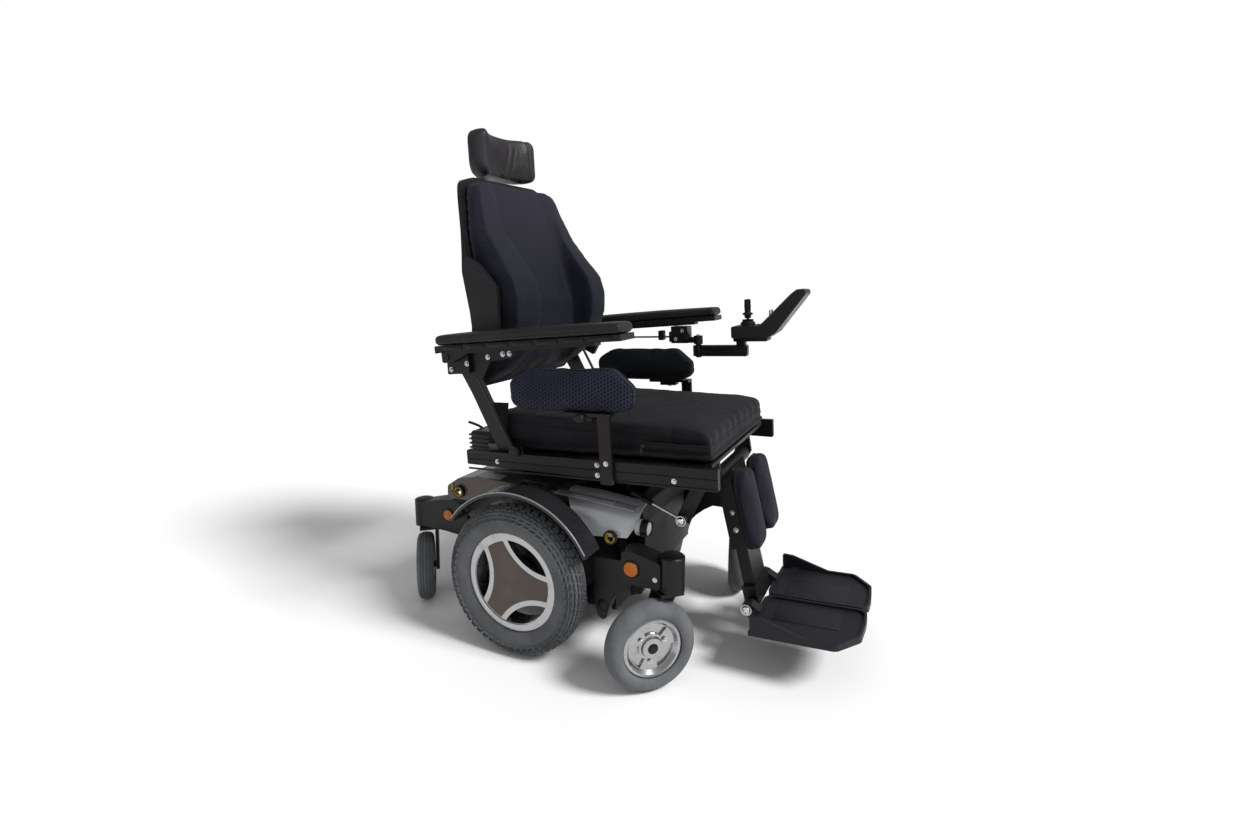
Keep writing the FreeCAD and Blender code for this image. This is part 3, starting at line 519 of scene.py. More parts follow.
def remeshed(name, node, voxel, matrix=LEVEL, rounds=6, ends=None,
             parts=((-1.0, 1.0),)):
    """A merged, evenly meshed copy of a CAD node with its corners rounded.

    matrix is the frame that the node is square to, and parts the sideways spans of
    the separate bodies in it. ends holds the long axis, the axis that narrows, the
    share of the half length that is rounded and how far it closes.
    """
    bm = bmesh.new()
    bm.from_mesh(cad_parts[node].data)
    bmesh.ops.remove_doubles(bm, verts=bm.verts, dist=2e-5)
    mesh = bpy.data.meshes.new(name)
    bm.to_mesh(mesh)
    bm.free()
    piece = bpy.data.objects.new(name, mesh)
    bpy.context.scene.collection.objects.link(piece)
    remesh = piece.modifiers.new("Even mesh", "REMESH")
    remesh.mode = "VOXEL"
    remesh.voxel_size = voxel
    bpy.context.view_layer.update()
    evaluated = piece.evaluated_get(bpy.context.evaluated_depsgraph_get())
    mesh = bpy.data.meshes.new_from_object(evaluated)
    piece.modifiers.clear()
    piece.data = mesh
    joined = bmesh.new()
    for low, high in parts:
        bm = bmesh.new()
        bm.from_mesh(mesh)
        others = [vert for vert in bm.verts if not low <= vert.co.y <= high]
        bmesh.ops.delete(bm, geom=others, context="VERTS")
        bmesh.ops.transform(bm, matrix=matrix.inverted(), verts=bm.verts)
        relax(bm, rounds, ends)
        bmesh.ops.transform(bm, matrix=matrix, verts=bm.verts)
        part = bpy.data.meshes.new(name + "_part")
        bm.to_mesh(part)
        bm.free()
        joined.from_mesh(part)
        bpy.data.meshes.remove(part)
    joined.to_mesh(mesh)
    joined.free()
    return piece


def swell(piece, inset, cap, hold, pressure=4.0):
    """Draws the skin in, then blows it up as cloth, moving no point further than cap.

    The side that faces hold stays where it rests.
    """
    mesh = piece.data
    normals = [vert.normal.copy() for vert in mesh.vertices]
    hold = Vector(hold).normalized()
    free = [1.0 - min(1.0, max(0.0, (normal.dot(hold) - 0.2) / 0.6)) for normal in normals]
    for vert, normal, share in zip(mesh.vertices, normals, free):
        vert.co = vert.co - normal * inset * share
    start = [vert.co.copy() for vert in mesh.vertices]
    cloth = piece.modifiers.new("Filling", "CLOTH")
    cloth.settings.use_pressure = True
    cloth.settings.uniform_pressure_force = pressure
    cloth.settings.effector_weights.gravity = 0.0
    cloth.settings.quality = 4
    cloth.point_cache.frame_start = 1
    cloth.point_cache.frame_end = 20
    scene = bpy.context.scene
    for number in range(1, 21):
        scene.frame_set(number)
    evaluated = piece.evaluated_get(bpy.context.evaluated_depsgraph_get())
    moved = [vert.co.copy() for vert in evaluated.data.vertices]
    piece.modifiers.remove(cloth)
    scene.frame_set(1)
    shifts = [after - before for after, before in zip(moved, start)]
    lengths = sorted(shift.length for shift in shifts)
    far = lengths[int(len(lengths) * 0.98)]
    scale = min(1.0, cap / far) if far > 0 else 1.0
    for vert, before, shift, share in zip(mesh.vertices, start, shifts, free):
        shift = shift * scale
        if shift.length > cap:
            shift = shift * (cap / shift.length)
        vert.co = before + shift * share


def press(piece, depth_of):
    """Moves each point in along its normal by the metres that depth_of gives for it."""
    mesh = piece.data
    normals = [vert.normal.copy() for vert in mesh.vertices]
    for vert, normal in zip(mesh.vertices, normals):
        vert.co = vert.co - normal * depth_of(vert.co, normal)


def groove(distance, width):
    return math.exp(-(distance / width) ** 2)


def finish_soft(piece, node, body, finish, smooth=True):
    mesh = piece.data
    mesh.shade_smooth()
    mesh.materials.clear()
    mesh.materials.append(finish_of(finish))
    if smooth:
        subdivision = piece.modifiers.new("Smooth skin", "SUBSURF")
        subdivision.levels = 1
        subdivision.render_levels = 1
    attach(piece, body)
    if node:
        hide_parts(node)
    return piece


def seam_loops(piece, point, normal):
    """The closed lines where a plane cuts a piece's skin, as lists of metres points."""
    bm = bmesh.new()
    bm.from_mesh(piece.data)
    geometry = bm.verts[:] + bm.edges[:] + bm.faces[:]
    bmesh.ops.bisect_plane(bm, geom=geometry, dist=1e-7, plane_co=point, plane_no=normal,
                           clear_inner=True, clear_outer=True)
    loops = []
    left = set(bm.verts)
    while left:
        vert = left.pop()
        line = [vert.co.copy()]
        while True:
            ahead = [edge.other_vert(vert) for edge in vert.link_edges]
            ahead = [other for other in ahead if other in left]
            if not ahead:
                break
            vert = ahead[0]
            left.discard(vert)
            line.append(vert.co.copy())
        if len(line) > 12:
            loops.append(line)
    bm.free()
    return loops


def place_seam(name, piece, point, normal, radius, body, finish, out=0.0, every=2):
    """A corded seam round a soft piece, standing out from its skin by out metres."""
    joined = bmesh.new()
    for line in seam_loops(piece, Vector(point), Vector(normal)):
        line = line[::every]
        middle = sum(line, Vector()) / len(line)
        line = [place + (place - middle).normalized() * out for place in line]
        mesh = tube_mesh(name + "_line", line, radius, cyclic=True, resolution=2)
        joined.from_mesh(mesh)
        bpy.data.meshes.remove(mesh)
    return place_piece(name, joined, body, finish, sharp=60)


# ---- settings -------------------------------------------------------------------
class UpholsterySettings(bpy.types.PropertyGroup):
    cushion_swell: FloatProperty(
        name="Cushion swell", description="How far the seat cushion's cover may puff out",
        default=0.012, min=0.0, max=0.03, unit="LENGTH")
    pad_swell: FloatProperty(
        name="Pad swell", description="How far the small pads' covers may puff out",
        default=0.007, min=0.0, max=0.02, unit="LENGTH")
    cloth_colour: FloatVectorProperty(
        name="Cover colour", description="Colour of the seat cushion's cover",
        default=(0.0105, 0.0105, 0.0135), size=3, subtype="COLOR", min=0, max=1)
    mesh_colour: FloatVectorProperty(
        name="Mesh colour", description="Colour of the pads' open mesh covers",
        default=(0.0165, 0.0185, 0.0335), size=3, subtype="COLOR", min=0, max=1)


class WheelSettings(bpy.types.PropertyGroup):
    tread_blocks: IntProperty(
        name="Tread blocks", description="Blocks round each drive tyre",
        default=54, min=36, max=120)
    tread_depth: FloatProperty(
        name="Tread depth", description="How deep the drive tyres' grooves are",
        default=0.0056, min=0.001, max=0.008, unit="LENGTH")
    rubber_colour: FloatVectorProperty(
        name="Rubber colour", description="Colour of the non-marking tyres",
        default=(0.098, 0.104, 0.110), size=3, subtype="COLOR", min=0, max=1)


class TrimSettings(bpy.types.PropertyGroup):
    reflector_colour: FloatVectorProperty(
        name="Reflector colour", description="Colour of the side reflectors",
        default=(0.46, 0.12, 0.002), size=3, subtype="COLOR", min=0, max=1)
    insert_colour: FloatVectorProperty(
        name="Insert colour", description="Colour of the wheel inserts and rear cover",
        default=(0.078, 0.056, 0.043), size=3, subtype="COLOR", min=0, max=1)


class StageSettings(bpy.types.PropertyGroup):
    key_power: FloatProperty(
        name="Main light", description="Strength of the broad main light",
        default=3.3, min=0.0, max=20.0)
    sky_strength: FloatProperty(
        name="Surround", description="Brightness of the plain surround",
        default=0.4, min=0.0, max=4.0)


class WheelchairSettings(bpy.types.PropertyGroup):
    upholstery: PointerProperty(type=UpholsterySettings)
    wheels: PointerProperty(type=WheelSettings)
    trim: PointerProperty(type=TrimSettings)
    stage: PointerProperty(type=StageSettings)


# ---- operators ------------------------------------------------------------------
class WHEELCHAIR_OT_finishes(bpy.types.Operator):
    """Make every finish and give the frame's own pieces theirs"""

    bl_idname = "wheelchair.finishes"
    bl_label = "Finishes"

    def execute(self, context):
        upholstery = settings().upholstery
        trim = settings().trim
        tread = settings().wheels.rubber_colour
        FINISHES.update({
            "black_steel": painted("Black powder coat", (0.0040, 0.0038, 0.0041), 0.47),
            "battery_case": moulded("Battery case", (0.014, 0.014, 0.015), 0.5),
            "motor_casting": painted("Motor casting", (0.016, 0.016, 0.017), 0.45, metallic=0.3),
            "taupe_plastic": painted("Taupe cover", trim.insert_colour, 0.34, coat=0.35, wear=0.1),
            "silver_panel": cast_silver("Silver panel", (0.66, 0.675, 0.70), 0.3, 0.3, stain=0.0),
            "fender_plastic": moulded("Fender", (0.013, 0.0133, 0.0145), 0.27, coat=0.25),
            "clear_lamp": lens("Lamp lens", (0.42, 0.43, 0.45), 900),
            "yellow_mark": painted("Yellow steel", (0.42, 0.29, 0.012), 0.45, wear=0.1),
            "yellow_steel": ringed_steel("Ringed tie-down eye", (0.50, 0.35, 0.012),
                                         ((0.212, 0.292), (-0.236, 0.322)), 0.0118),
            "drive_tread": rubber("Drive tyre rubber", tread),
            "silver_rim": cast_silver("Silver rim", (0.42, 0.42, 0.425), 0.24, 1.0),
            "taupe_insert": painted("Taupe insert", trim.insert_colour, 0.4, coat=0.2, wear=0.1),
            "caster_tread": rubber("Caster tyre rubber", shade(tread, 1.15)[:3], streak=0.2),
            "bright_steel": bright_metal("Bright steel", (0.62, 0.62, 0.63), 0.16),
            "cushion_fabric": woven("Cushion cover", upholstery.cloth_colour, 0.0014),
            # the back cover's second colour is painted light on its top part
            "back_fabric": stretch_knit("Back cover", (0.0088, 0.0108, 0.0168),
                                        (0.022, 0.0195, 0.031)),
            "mesh_fabric": spacer_mesh("Pad mesh", upholstery.mesh_colour, 0.0078),
            "calf_fabric": woven("Calf pad cloth", (0.0105, 0.0112, 0.018), 0.0018,
                                 wrinkle=0.0008),
            "smooth_fabric": woven("Smooth pad cloth", (0.0055, 0.0070, 0.0092), 0.0012,
                                   wrinkle=0.0007, roughness=0.6),
            "headrest_leather": leather("Headrest end leather", (0.013, 0.0135, 0.0185), 0.42),
            "headrest_front": leather("Headrest front leather", (0.0155, 0.0132, 0.0150), 0.33),
            "arm_pad_skin": leather("Arm pad skin", (0.0088, 0.0082, 0.0086), 0.32, pore=900),
            "grey_shell": moulded("Back shell", (0.0085, 0.0088, 0.0105), 0.34),
            "black_plastic": moulded("Black plastic", (0.0052, 0.0048, 0.0052), 0.32),
            "control_plastic": moulded("Control box", (0.0095, 0.0088, 0.0118), 0.33),
            "foot_plastic": moulded("Footplate", (0.0125, 0.0122, 0.0170), 0.48, grain=700,
                                    depth=0.0006),
            "soft_black": rubber("Soft black rubber", (0.008, 0.008, 0.009), streak=0.1),
            "webbing": woven("Belt webbing", (0.0065, 0.0065, 0.008), 0.0022, wrinkle=0.0006),
            "grey_plastic": moulded("Grey plastic", (0.09, 0.092, 0.10), 0.45),
            "edge_silver": painted("Pale edge", (0.30, 0.305, 0.315), 0.3, metallic=0.2,
                                   wear=0.02),
            "amber_lens": lens("Amber reflector", trim.reflector_colour, 1100),
            "label_white": painted("Plain plate", (0.55, 0.55, 0.57), 0.4, wear=0.05),
            "brown_steel": painted("Bronze post", (0.016, 0.0125, 0.0105), 0.34, metallic=0.4),
            "screen": screen_glass("Display glass"),
        })
        for name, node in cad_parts.items():
            for index, material in enumerate(node.data.materials):
                node.data.materials[index] = finish_of(material.name.split(".")[0])
        for name in ("thigh_bracket_left", "thigh_bracket_right"):
            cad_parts[name].data.materials[0] = finish_of("brown_steel")
        return {"FINISHED"}


class WHEELCHAIR_OT_seat_cushion(bpy.types.Operator):
    """Build the air-filled seat cushion with its seams and zip"""

    bl_idname = "wheelchair.seat_cushion"
    bl_label = "Seat cushion"

    def execute(self, context):
        up = SEAT.to_3x3() @ Vector((0, 0, 1))
        cushion = remeshed("seat_cushion_cover", "seat_cushion", 0.0065, SEAT, 14)
        swell(cushion, 0.008, settings().upholstery.cushion_swell, -up)
        level = SEAT.inverted()

        def tailor(place, normal):
            u, y, w = level @ place / MM
            top = 558 - 0.062 * (u + 120)
            front_rim = groove(u - 446, 15) * groove(w - top, 30)
            scallop = front_rim * 0.0030 * (math.cos(2 * math.pi * y / 50) + 1)
            side_rim = groove(abs(y) - 218, 16) * groove(w - top, 26)
            scallop += side_rim * 0.0010 * (math.cos(2 * math.pi * u / 50) + 1)
            cells = 0.0003 * (math.cos(2 * math.pi * u / 50) * math.cos(2 * math.pi * y / 50))
            on_top = max(0.0, normal.dot(up)) ** 4
            boxing = 0.0045 * groove(w - 478, 3.2) * (1 - on_top)
            border = 0.0035 * groove(w - (top - 26), 3.5) * (1 - on_top)
            return scallop + boxing + border + cells * on_top

        press(cushion, tailor)
        finish_soft(cushion, "seat_cushion", "seat", "cushion_fabric")
        for name, w in (("cushion_lower_seam", 478), ("cushion_upper_seam", 513)):
            tilt = Matrix.Rotation(math.radians(3.5), 3, "Y") if w > 500 else Matrix.Identity(3)
            point = SEAT @ mm(150, 0, w)
            place_seam(name, cushion, point, tilt @ up, 0.0013, "seat", "cushion_fabric",
                       out=-0.0004)
        self.zip()
        return {"FINISHED"}

    def zip(self):
        bm = bmesh.new()
        add_block(bm, (292, -228.5, 486), (442, -224.0, 499), 1.0)
        place_piece("zip_tape", bm, "seat", "webbing", SEAT)
        teeth = bmesh.new()
        for number in range(72):
            u = 295 + number * 2
            add_block(teeth, (u, -229.6, 491.2), (u + 1.2, -228.0, 494.6))
        place_piece("zip_teeth", teeth, "seat", "black_plastic", SEAT)
        pull = bmesh.new()
        add_block(pull, (286, -231.5, 489), (296, -227.5, 497), 1.2)
        add_block(pull, (284, -231.2, 472), (290, -229.4, 491), 0.6)
        place_piece("zip_pull", pull, "seat", "black_steel", SEAT)


class WHEELCHAIR_OT_back_cushion(bpy.types.Operator):
    """Build the stretch-covered back cushion with its side bolsters"""

    bl_idname = "wheelchair.back_cushion"
    bl_label = "Back cushion"

    def execute(self, context):
        back = SEAT.to_3x3() @ Vector((-1, 0, 0))
        level = SEAT.inverted()
        cushion = remeshed("back_cushion_cover", "back_cushion", 0.006, SEAT, 10)
        for vert in cushion.data.vertices:
            u, y, w = level @ vert.co
            rise = min(1.0, max(0.0, (w - 0.915) / 0.07))
            top = min(1.0, max(0.0, (w - 1.05) / 0.05))
            vert.co = SEAT @ Vector((u, y * (1 + 0.062 * rise), w + 0.010 * top))
        swell(cushion, 0.006, settings().upholstery.cushion_swell, back)

        def tailor(place, normal):
            u, y, w = level @ place / MM
            facing = max(0.0, -normal.dot(back))
            seam = 0.004 * groove(abs(y) - 116 + 0.05 * (w - 800), 5.0) * facing
            gathers = 0.0006 * math.sin(y / 11 + 0.9 * math.sin(w / 90)) * facing
            gathers *= 0.4 + 0.6 * groove(w - 700, 160)
            return seam + gathers

        press(cushion, tailor)
        finish_soft(cushion, "back_cushion", "back", "back_fabric")
        return {"FINISHED"}


class WHEELCHAIR_OT_headrest(bpy.types.Operator):
    """Build the curved headrest pad with its end panels"""

    bl_idname = "wheelchair.headrest"
    bl_label = "Headrest"

    def execute(self, context):
        back = SEAT.to_3x3() @ Vector((-1, 0, 0))
        pad = remeshed("headrest_cover", "headrest_pad", 0.004, SEAT, 12, (1, 2, 0.34, 0.78))
        swell(pad, 0.004, 0.006, back, pressure=3.0)
        press(pad, lambda place, normal: 0.0025 * groove(abs(place.y) - 0.088, 0.0035))
        finish_soft(pad, "headrest_pad", "headrest", "headrest_front")
        pad.data.materials.append(finish_of("headrest_leather"))
        for face in pad.data.polygons:
            end = abs(face.center.y) > 0.088
            rear = face.normal.dot(back) > 0.35
            face.material_index = 1 if end or rear else 0
        for side, sign in SIDES.items():
            place_seam(f"headrest_seam_{side}", pad, (0, sign * 0.088, 0), (0, 1, 0), 0.0011,
                       "headrest", "headrest_leather", out=-0.0002)
        return {"FINISHED"}


class WHEELCHAIR_OT_arm_pads(bpy.types.Operator):
    """Build the moulded armrest pads"""

    bl_idname = "wheelchair.arm_pads"
    bl_label = "Armrest pads"

    def execute(self, context):
        down = ARM.to_3x3() @ Vector((0, 0, -1))
        for side in SIDES:
            pad = remeshed(f"armrest_cover_{side}", f"arm_pad_{side}", 0.0045, ARM, 5)
            swell(pad, 0.002, 0.003, down, pressure=3.0)
            finish_soft(pad, f"arm_pad_{side}", f"armrest_{side}", "arm_pad_skin")
            point = ARM @ mm(0, 0, 727)
            place_seam(f"armrest_welt_{side}", pad, point, down, 0.0012, f"armrest_{side}",
                       "arm_pad_skin")
        return {"FINISHED"}


class WHEELCHAIR_OT_thigh_pads(bpy.types.Operator):
    """Build the mesh-covered and the smooth thigh pads with their piping"""

    bl_idname = "wheelchair.thigh_pads"
    bl_label = "Thigh pads"

    def execute(self, context):
        down = SEAT.to_3x3() @ Vector((0, 0, -1))
        swelling = settings().upholstery.pad_swell
        for side in SIDES:
            body = f"thigh_support_{side}"
            cover = "mesh_fabric" if side == "right" else "smooth_fabric"
            pad = remeshed(f"thigh_cover_{side}", f"thigh_pad_{side}", 0.0045, SEAT, 16,
                           (0, 2, 0.3, 0.5))
            swell(pad, 0.006, swelling, down)
            finish_soft(pad, f"thigh_pad_{side}", body, cover)
            low, high = reach(pad.data.vertices)
            for place, share in (("right", 0.3), ("left", 0.7)):
                seam = Vector((0, low.y + (high.y - low.y) * share, 0))
                place_seam(f"thigh_piping_{place}_{side}", pad, seam, (0, 1, 0), 0.0018, body,
                           "smooth_fabric")
        return {"FINISHED"}


class WHEELCHAIR_OT_calf_pads(bpy.types.Operator):
    """Build the pair of calf pads"""

    bl_idname = "wheelchair.calf_pads"
    bl_label = "Calf pads"

    def execute(self, context):
        rear = LEG.to_3x3() @ Vector((-1, 0, 0))
        pads = remeshed("calf_cover", "calf_pads", 0.0045, LEG, 14, (2, 1, 0.42, 0.8),
                       ((-1.0, 0.0), (0.0, 1.0)))
        swell(pads, 0.005, settings().upholstery.pad_swell, rear)
        finish_soft(pads, "calf_pads", "leg_support", "calf_fabric")
        place_seam("calf_piping", pads, LEG @ mm(40, 0, -90), rear, 0.0017, "leg_support",
                   "smooth_fabric")
        return {"FINISHED"}


class WHEELCHAIR_OT_drive_tyres(bpy.types.Operator):
    """Build the block-treaded drive tyres"""

    bl_idname = "wheelchair.drive_tyres"
    bl_label = "Drive tyres"

    def execute(self, context):
        steps = settings().wheels.tread_blocks
        depth = settings().wheels.tread_depth
        half = [(117.6, 26.6), (124, 29.6), (127, 30.0), (129, 30.6), (137, 32.2), (146, 32.4),
                (152, 31.6), (154, 30.6), (159.4, 28.6), (164.4, 23.4), (169.2, 15.0),
                (171.6, 7.0), (172.2, 0.0)]
        ring = half + [(radius, -y) for radius, y in reversed(half[:-1])]
        for side, sign in SIDES.items():
            bm = bmesh.new()
            verts = [bm.verts.new((radius * MM, y * MM, 0)) for radius, y in ring]
            edges = [bm.edges.new(pair) for pair in zip(verts, verts[1:] + verts[:1])]
            bmesh.ops.spin(bm, geom=verts + edges, cent=(0, 0, 0), axis=(0, 1, 0),
                           angle=2 * math.pi, steps=steps, use_merge=True)
            bmesh.ops.remove_doubles(bm, verts=bm.verts, dist=1e-6)
            bmesh.ops.recalc_face_normals(bm, faces=bm.faces)
            self.sweep(bm, 2 * math.pi / steps)
            self.raise_blocks(bm, depth)
            place = Matrix.Translation((0, sign * DRIVE_CENTRE.y, DRIVE_CENTRE.z))
            tyre = place_piece(f"treaded_tyre_{side}", bm, f"drive_wheel_{side}", "drive_tread",
                               place, sharp=28)
            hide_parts(f"drive_tyre_{side}")
        return {"FINISHED"}

    def sweep(self, bm, step):
        """Slants the blocks: the crown leads the shoulders by part of a block."""
        for vert in bm.verts:
            lead = max(0.0, 1 - abs(vert.co.y) / 0.030) ** 1.4 * 0.9 * step
            vert.co = Matrix.Rotation(lead, 3, "Y") @ vert.co

    def raise_blocks(self, bm, depth):
        def radius_of(face):
            middle = face.calc_center_median()
            return math.hypot(middle.x, middle.z)

        bm.faces.ensure_lookup_table()
        blocks = [face for face in bm.faces if radius_of(face) > 0.1475]
        bmesh.ops.inset_individual(bm, faces=blocks, thickness=0.0019, depth=0.0,
                                   use_even_offset=True)
        bmesh.ops.inset_individual(bm, faces=blocks, thickness=0.0012, depth=depth,
                                   use_even_offset=True)


class WHEELCHAIR_OT_casters(bpy.types.Operator):
    """Build the casters' rims, hub caps and ribbed rear tyres"""

    bl_idname = "wheelchair.casters"
    bl_label = "Casters"

    def execute(self, context):
        for side in SIDES:
            body = f"front_wheel_{side}"
            place = caster_place("front", side) @ Matrix.Rotation(math.radians(90), 4, "X")
            rim = place_piece(f"front_rim_{side}", self.rim(65.4, 20.0, 24), body, "silver_rim",
                              place)
            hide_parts(f"front_caster_rim_{side}")
            place_piece(f"front_hub_cap_{side}", self.hub_caps(11.5, 19.0), body,
                        "black_plastic", place)
            bolts = bmesh.new()
            for height in (-13.5, 13.5):
                places = [(31 * math.cos(a), 31 * math.sin(a), height)
                          for a in (0.4, 0.4 + 2.094, 0.4 + 4.189)]
                add_bolts(bolts, places, 3.4, 3.0, (0, 0, math.copysign(1, height)))
            place_piece(f"front_rim_bolts_{side}", bolts, body, "bright_steel",
                        place)
            body = f"rear_wheel_{side}"
            place = caster_place("rear", side) @ Matrix.Rotation(math.radians(90), 4, "X")
            rim = place_piece(f"rear_rim_{side}", self.rim(49.4, 17.6, 20), body, "silver_rim",
                              place)
            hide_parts(f"rear_caster_rim_{side}")
            tyre = place_piece(f"ribbed_tyre_{side}", self.ribbed_tyre(), body, "caster_tread",
                               place)
            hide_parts(f"rear_caster_tyre_{side}")
            place_piece(f"rear_hub_cap_{side}", self.hub_caps(9.5, 16.5), body,
                        "black_plastic", place)
        return {"FINISHED"}

    def rim(self, radius, half, hub):
        """A dished rim whose web has three pressed pockets on each face."""
        face = [(8.6, half - 1.5), (hub * 0.6, half - 1), (hub * 0.9, half - 3),
                (hub, 11), (radius * 0.42, 10), (radius * 0.60, 9.5), (radius * 0.78, 9.5),
                (radius * 0.84, half - 5), (radius * 0.88, half - 1.5), (radius * 0.94, half),
                (radius, half - 2)]
        ring = face + [(r, -h) for r, h in reversed(face)]
        bm = bmesh.new()
        verts = [bm.verts.new((r * MM, 0, h * MM)) for r, h in ring]
        edges = [bm.edges.new(pair) for pair in zip(verts, verts[1:] + verts[:1])]
        bmesh.ops.spin(bm, geom=verts + edges, cent=(0, 0, 0), axis=(0, 0, 1),
                       angle=2 * math.pi, steps=48, use_merge=True)
        bmesh.ops.remove_doubles(bm, verts=bm.verts, dist=1e-6)
        bmesh.ops.recalc_face_normals(bm, faces=bm.faces)
        pockets = []
        for each in bm.faces:
            middle = each.calc_center_median() / MM
            reach = math.hypot(middle.x, middle.y)
            turn = math.degrees(math.atan2(middle.y, middle.x) - 0.4) % 120
            flat = radius * 0.43 < reach < radius * 0.77 and abs(middle.z) < 12
            if flat and 20 < turn < 100:
                pockets.append(each)
        bmesh.ops.inset_region(bm, faces=pockets, thickness=0.0012, depth=0.0)
        bmesh.ops.inset_region(bm, faces=pockets, thickness=0.0008, depth=-0.0055)
        return bm

    def hub_caps(self, radius, height):
        bm = bmesh.new()
        for sign in (-1, 1):
            profile = [(0, 1.6), (radius * 0.5, 1.4), (radius * 0.82, 0.9), (radius, 0.0),
                       (radius, -4.0), (0, -4.0)]
            add_turned(bm, profile, (0, 0, sign * height), (0, 0, sign), 28)
        return bm

    def ribbed_tyre(self):
        crown = [(81.5, 18.6), (84.8, 15.0), (86.4, 12.4), (85.0, 11.4), (85.0, 10.4),
                 (87.4, 9.4), (88.0, 5.6), (86.0, 4.8), (86.0, 3.8), (88.4, 3.0)]
        half = [(50.2, 17.4), (53.0, 19.6), (58.0, 21.4), (66.0, 21.8), (75.0, 21.0)] + crown
        ring = half + [(r, -h) for r, h in reversed(half)]
        bm = bmesh.new()
        verts = [bm.verts.new((r * MM, 0, h * MM)) for r, h in ring]
        edges = [bm.edges.new(pair) for pair in zip(verts, verts[1:] + verts[:1])]
        bmesh.ops.spin(bm, geom=verts + edges, cent=(0, 0, 0), axis=(0, 0, 1),
                       angle=2 * math.pi, steps=72, use_merge=True)
        return bm


class WHEELCHAIR_OT_base_trim(bpy.types.Operator):
    """Add the fenders' edges, lamp bezels, strips and marks on the base"""

    bl_idname = "wheelchair.base_trim"
    bl_label = "Base trim"

    def execute(self, context):
        for side, sign in SIDES.items():
            points = []
            for degrees in range(29, 145, 6):
                angle = math.radians(degrees)
                points.append((8 + 213.4 * math.cos(angle), sign * 327.2,
                               177.5 + 213.4 * math.sin(angle)))
            place_tube(f"fender_edge_{side}", points, 1.6, "chassis", "edge_silver",
                       "silver_panel")
            self.lamp(side, sign)
            strip = bmesh.new()
            y0, y1 = sorted((sign * 196, sign * 226))
            add_block(strip, (-104, y0, -1.2), (104, y1, 1.2), 0.8)
            lean = Matrix.Translation(mm(160, 0, 362)) @ Matrix.Rotation(math.radians(3.2), 4, "Y")
            place_piece(f"side_strip_{side}", strip, "chassis", "edge_silver",
                        lean)
            plates = bmesh.new()
            y0, y1 = sorted((sign * 176, sign * 199))
            add_block(plates, (-62, y0, 365.6), (14, y1, 367.4), 0.6)
            place_piece(f"cover_strip_{side}", plates, "chassis", "edge_silver")
            marks = bmesh.new()
            y0, y1 = sorted((sign * 204.6, sign * 207.2))
            add_block(marks, (-262, y0, 318), (-257, y1, 340), 0.6)
            add_block(marks, (-262, y0, 318), (-240, y1, 323), 0.6)
            place_piece(f"hook_mark_{side}", marks, "chassis", "yellow_mark")
        panels = bmesh.new()
        for sign in SIDES.values():
            self.side_panel(panels, sign)
        silver = place_piece("side_panels", panels, "chassis", "silver_panel",
                             sharp=50)
        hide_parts("side_covers")
        label = bmesh.new()
        add_block(label, (-186, -198, 365.6), (-118, -164, 366.8), 0.4)
        place_piece("plain_label", label, "chassis", "label_white")
        vents = bmesh.new()
        for number in range(6):
            x = -96 + number * 9
            add_block(vents, (x, -120, 365.4), (x + 4, 120, 367.0), 0.5)
        place_piece("cover_ribs", vents, "chassis", "taupe_plastic")
        return {"FINISHED"}

    def side_panel(self, joined, sign):
        """A rolled panel, trimmed along the fender and behind the lamp, then thickened."""
        bm = bmesh.new()
        verts = [bm.verts.new(mm(x, 232, 262)) for x in range(70, 267, 14)]
        edges = [bm.edges.new(pair) for pair in zip(verts, verts[1:])]
        bmesh.ops.spin(bm, geom=verts + edges, cent=mm(0, 152, 272), axis=(1, 0, 0),
                       angle=math.radians(96), steps=16)
        for vert in bm.verts:
            drop = max(0.0, (vert.co.x - 0.15) / 0.115)
            vert.co.z -= 0.010 * drop * max(0.0, (vert.co.z - 0.262) / 0.09)
            vert.co.z = 0.262 + (vert.co.z - 0.262) * 1.15
        cuts = (((158, 0, 262), (-100, 0, -88)), ((262, 0, 316), (44, 0, -26)),
                ((0, 0, 268), (0.1, 0, -1)))
        for point, outward in cuts:
            bmesh.ops.bisect_plane(bm, geom=bm.verts[:] + bm.edges[:] + bm.faces[:], dist=1e-6,
                                   plane_co=mm(*point), plane_no=Vector(outward).normalized(),
                                   clear_outer=True)
        bmesh.ops.recalc_face_normals(bm, faces=bm.faces)
        bmesh.ops.solidify(bm, geom=bm.faces[:], thickness=0.0025)
        bmesh.ops.scale(bm, vec=(1, sign, 1), verts=bm.verts)
        bmesh.ops.recalc_face_normals(bm, faces=bm.faces)
        part = bpy.data.meshes.new("side_panel_part")
        bm.to_mesh(part)
        bm.free()
        joined.from_mesh(part)
        bpy.data.meshes.remove(part)

    def lamp(self, side, sign):
        bezel = [(15.5, 4.0), (17.8, 5.0), (19.4, 3.4), (19.8, -12.0), (16.0, -12.0), (15.5, 4.0)]
        bm = turned_part(bezel, 40)
        turn = Matrix.Rotation(math.radians(90), 4, "Y")
        place = Matrix.Translation(mm(293, sign * 217, 318)) @ turn
        place_piece(f"lamp_bezel_{side}", bm, "chassis", "black_plastic", place)
        glass = [(0, 5.6), (6, 5.3), (11, 4.0), (15.4, 1.6), (15.4, -2.0), (0, -2.0)]
        place_piece(f"lamp_glass_{side}", turned_part(glass, 40), "chassis", "clear_lamp",
                    place)


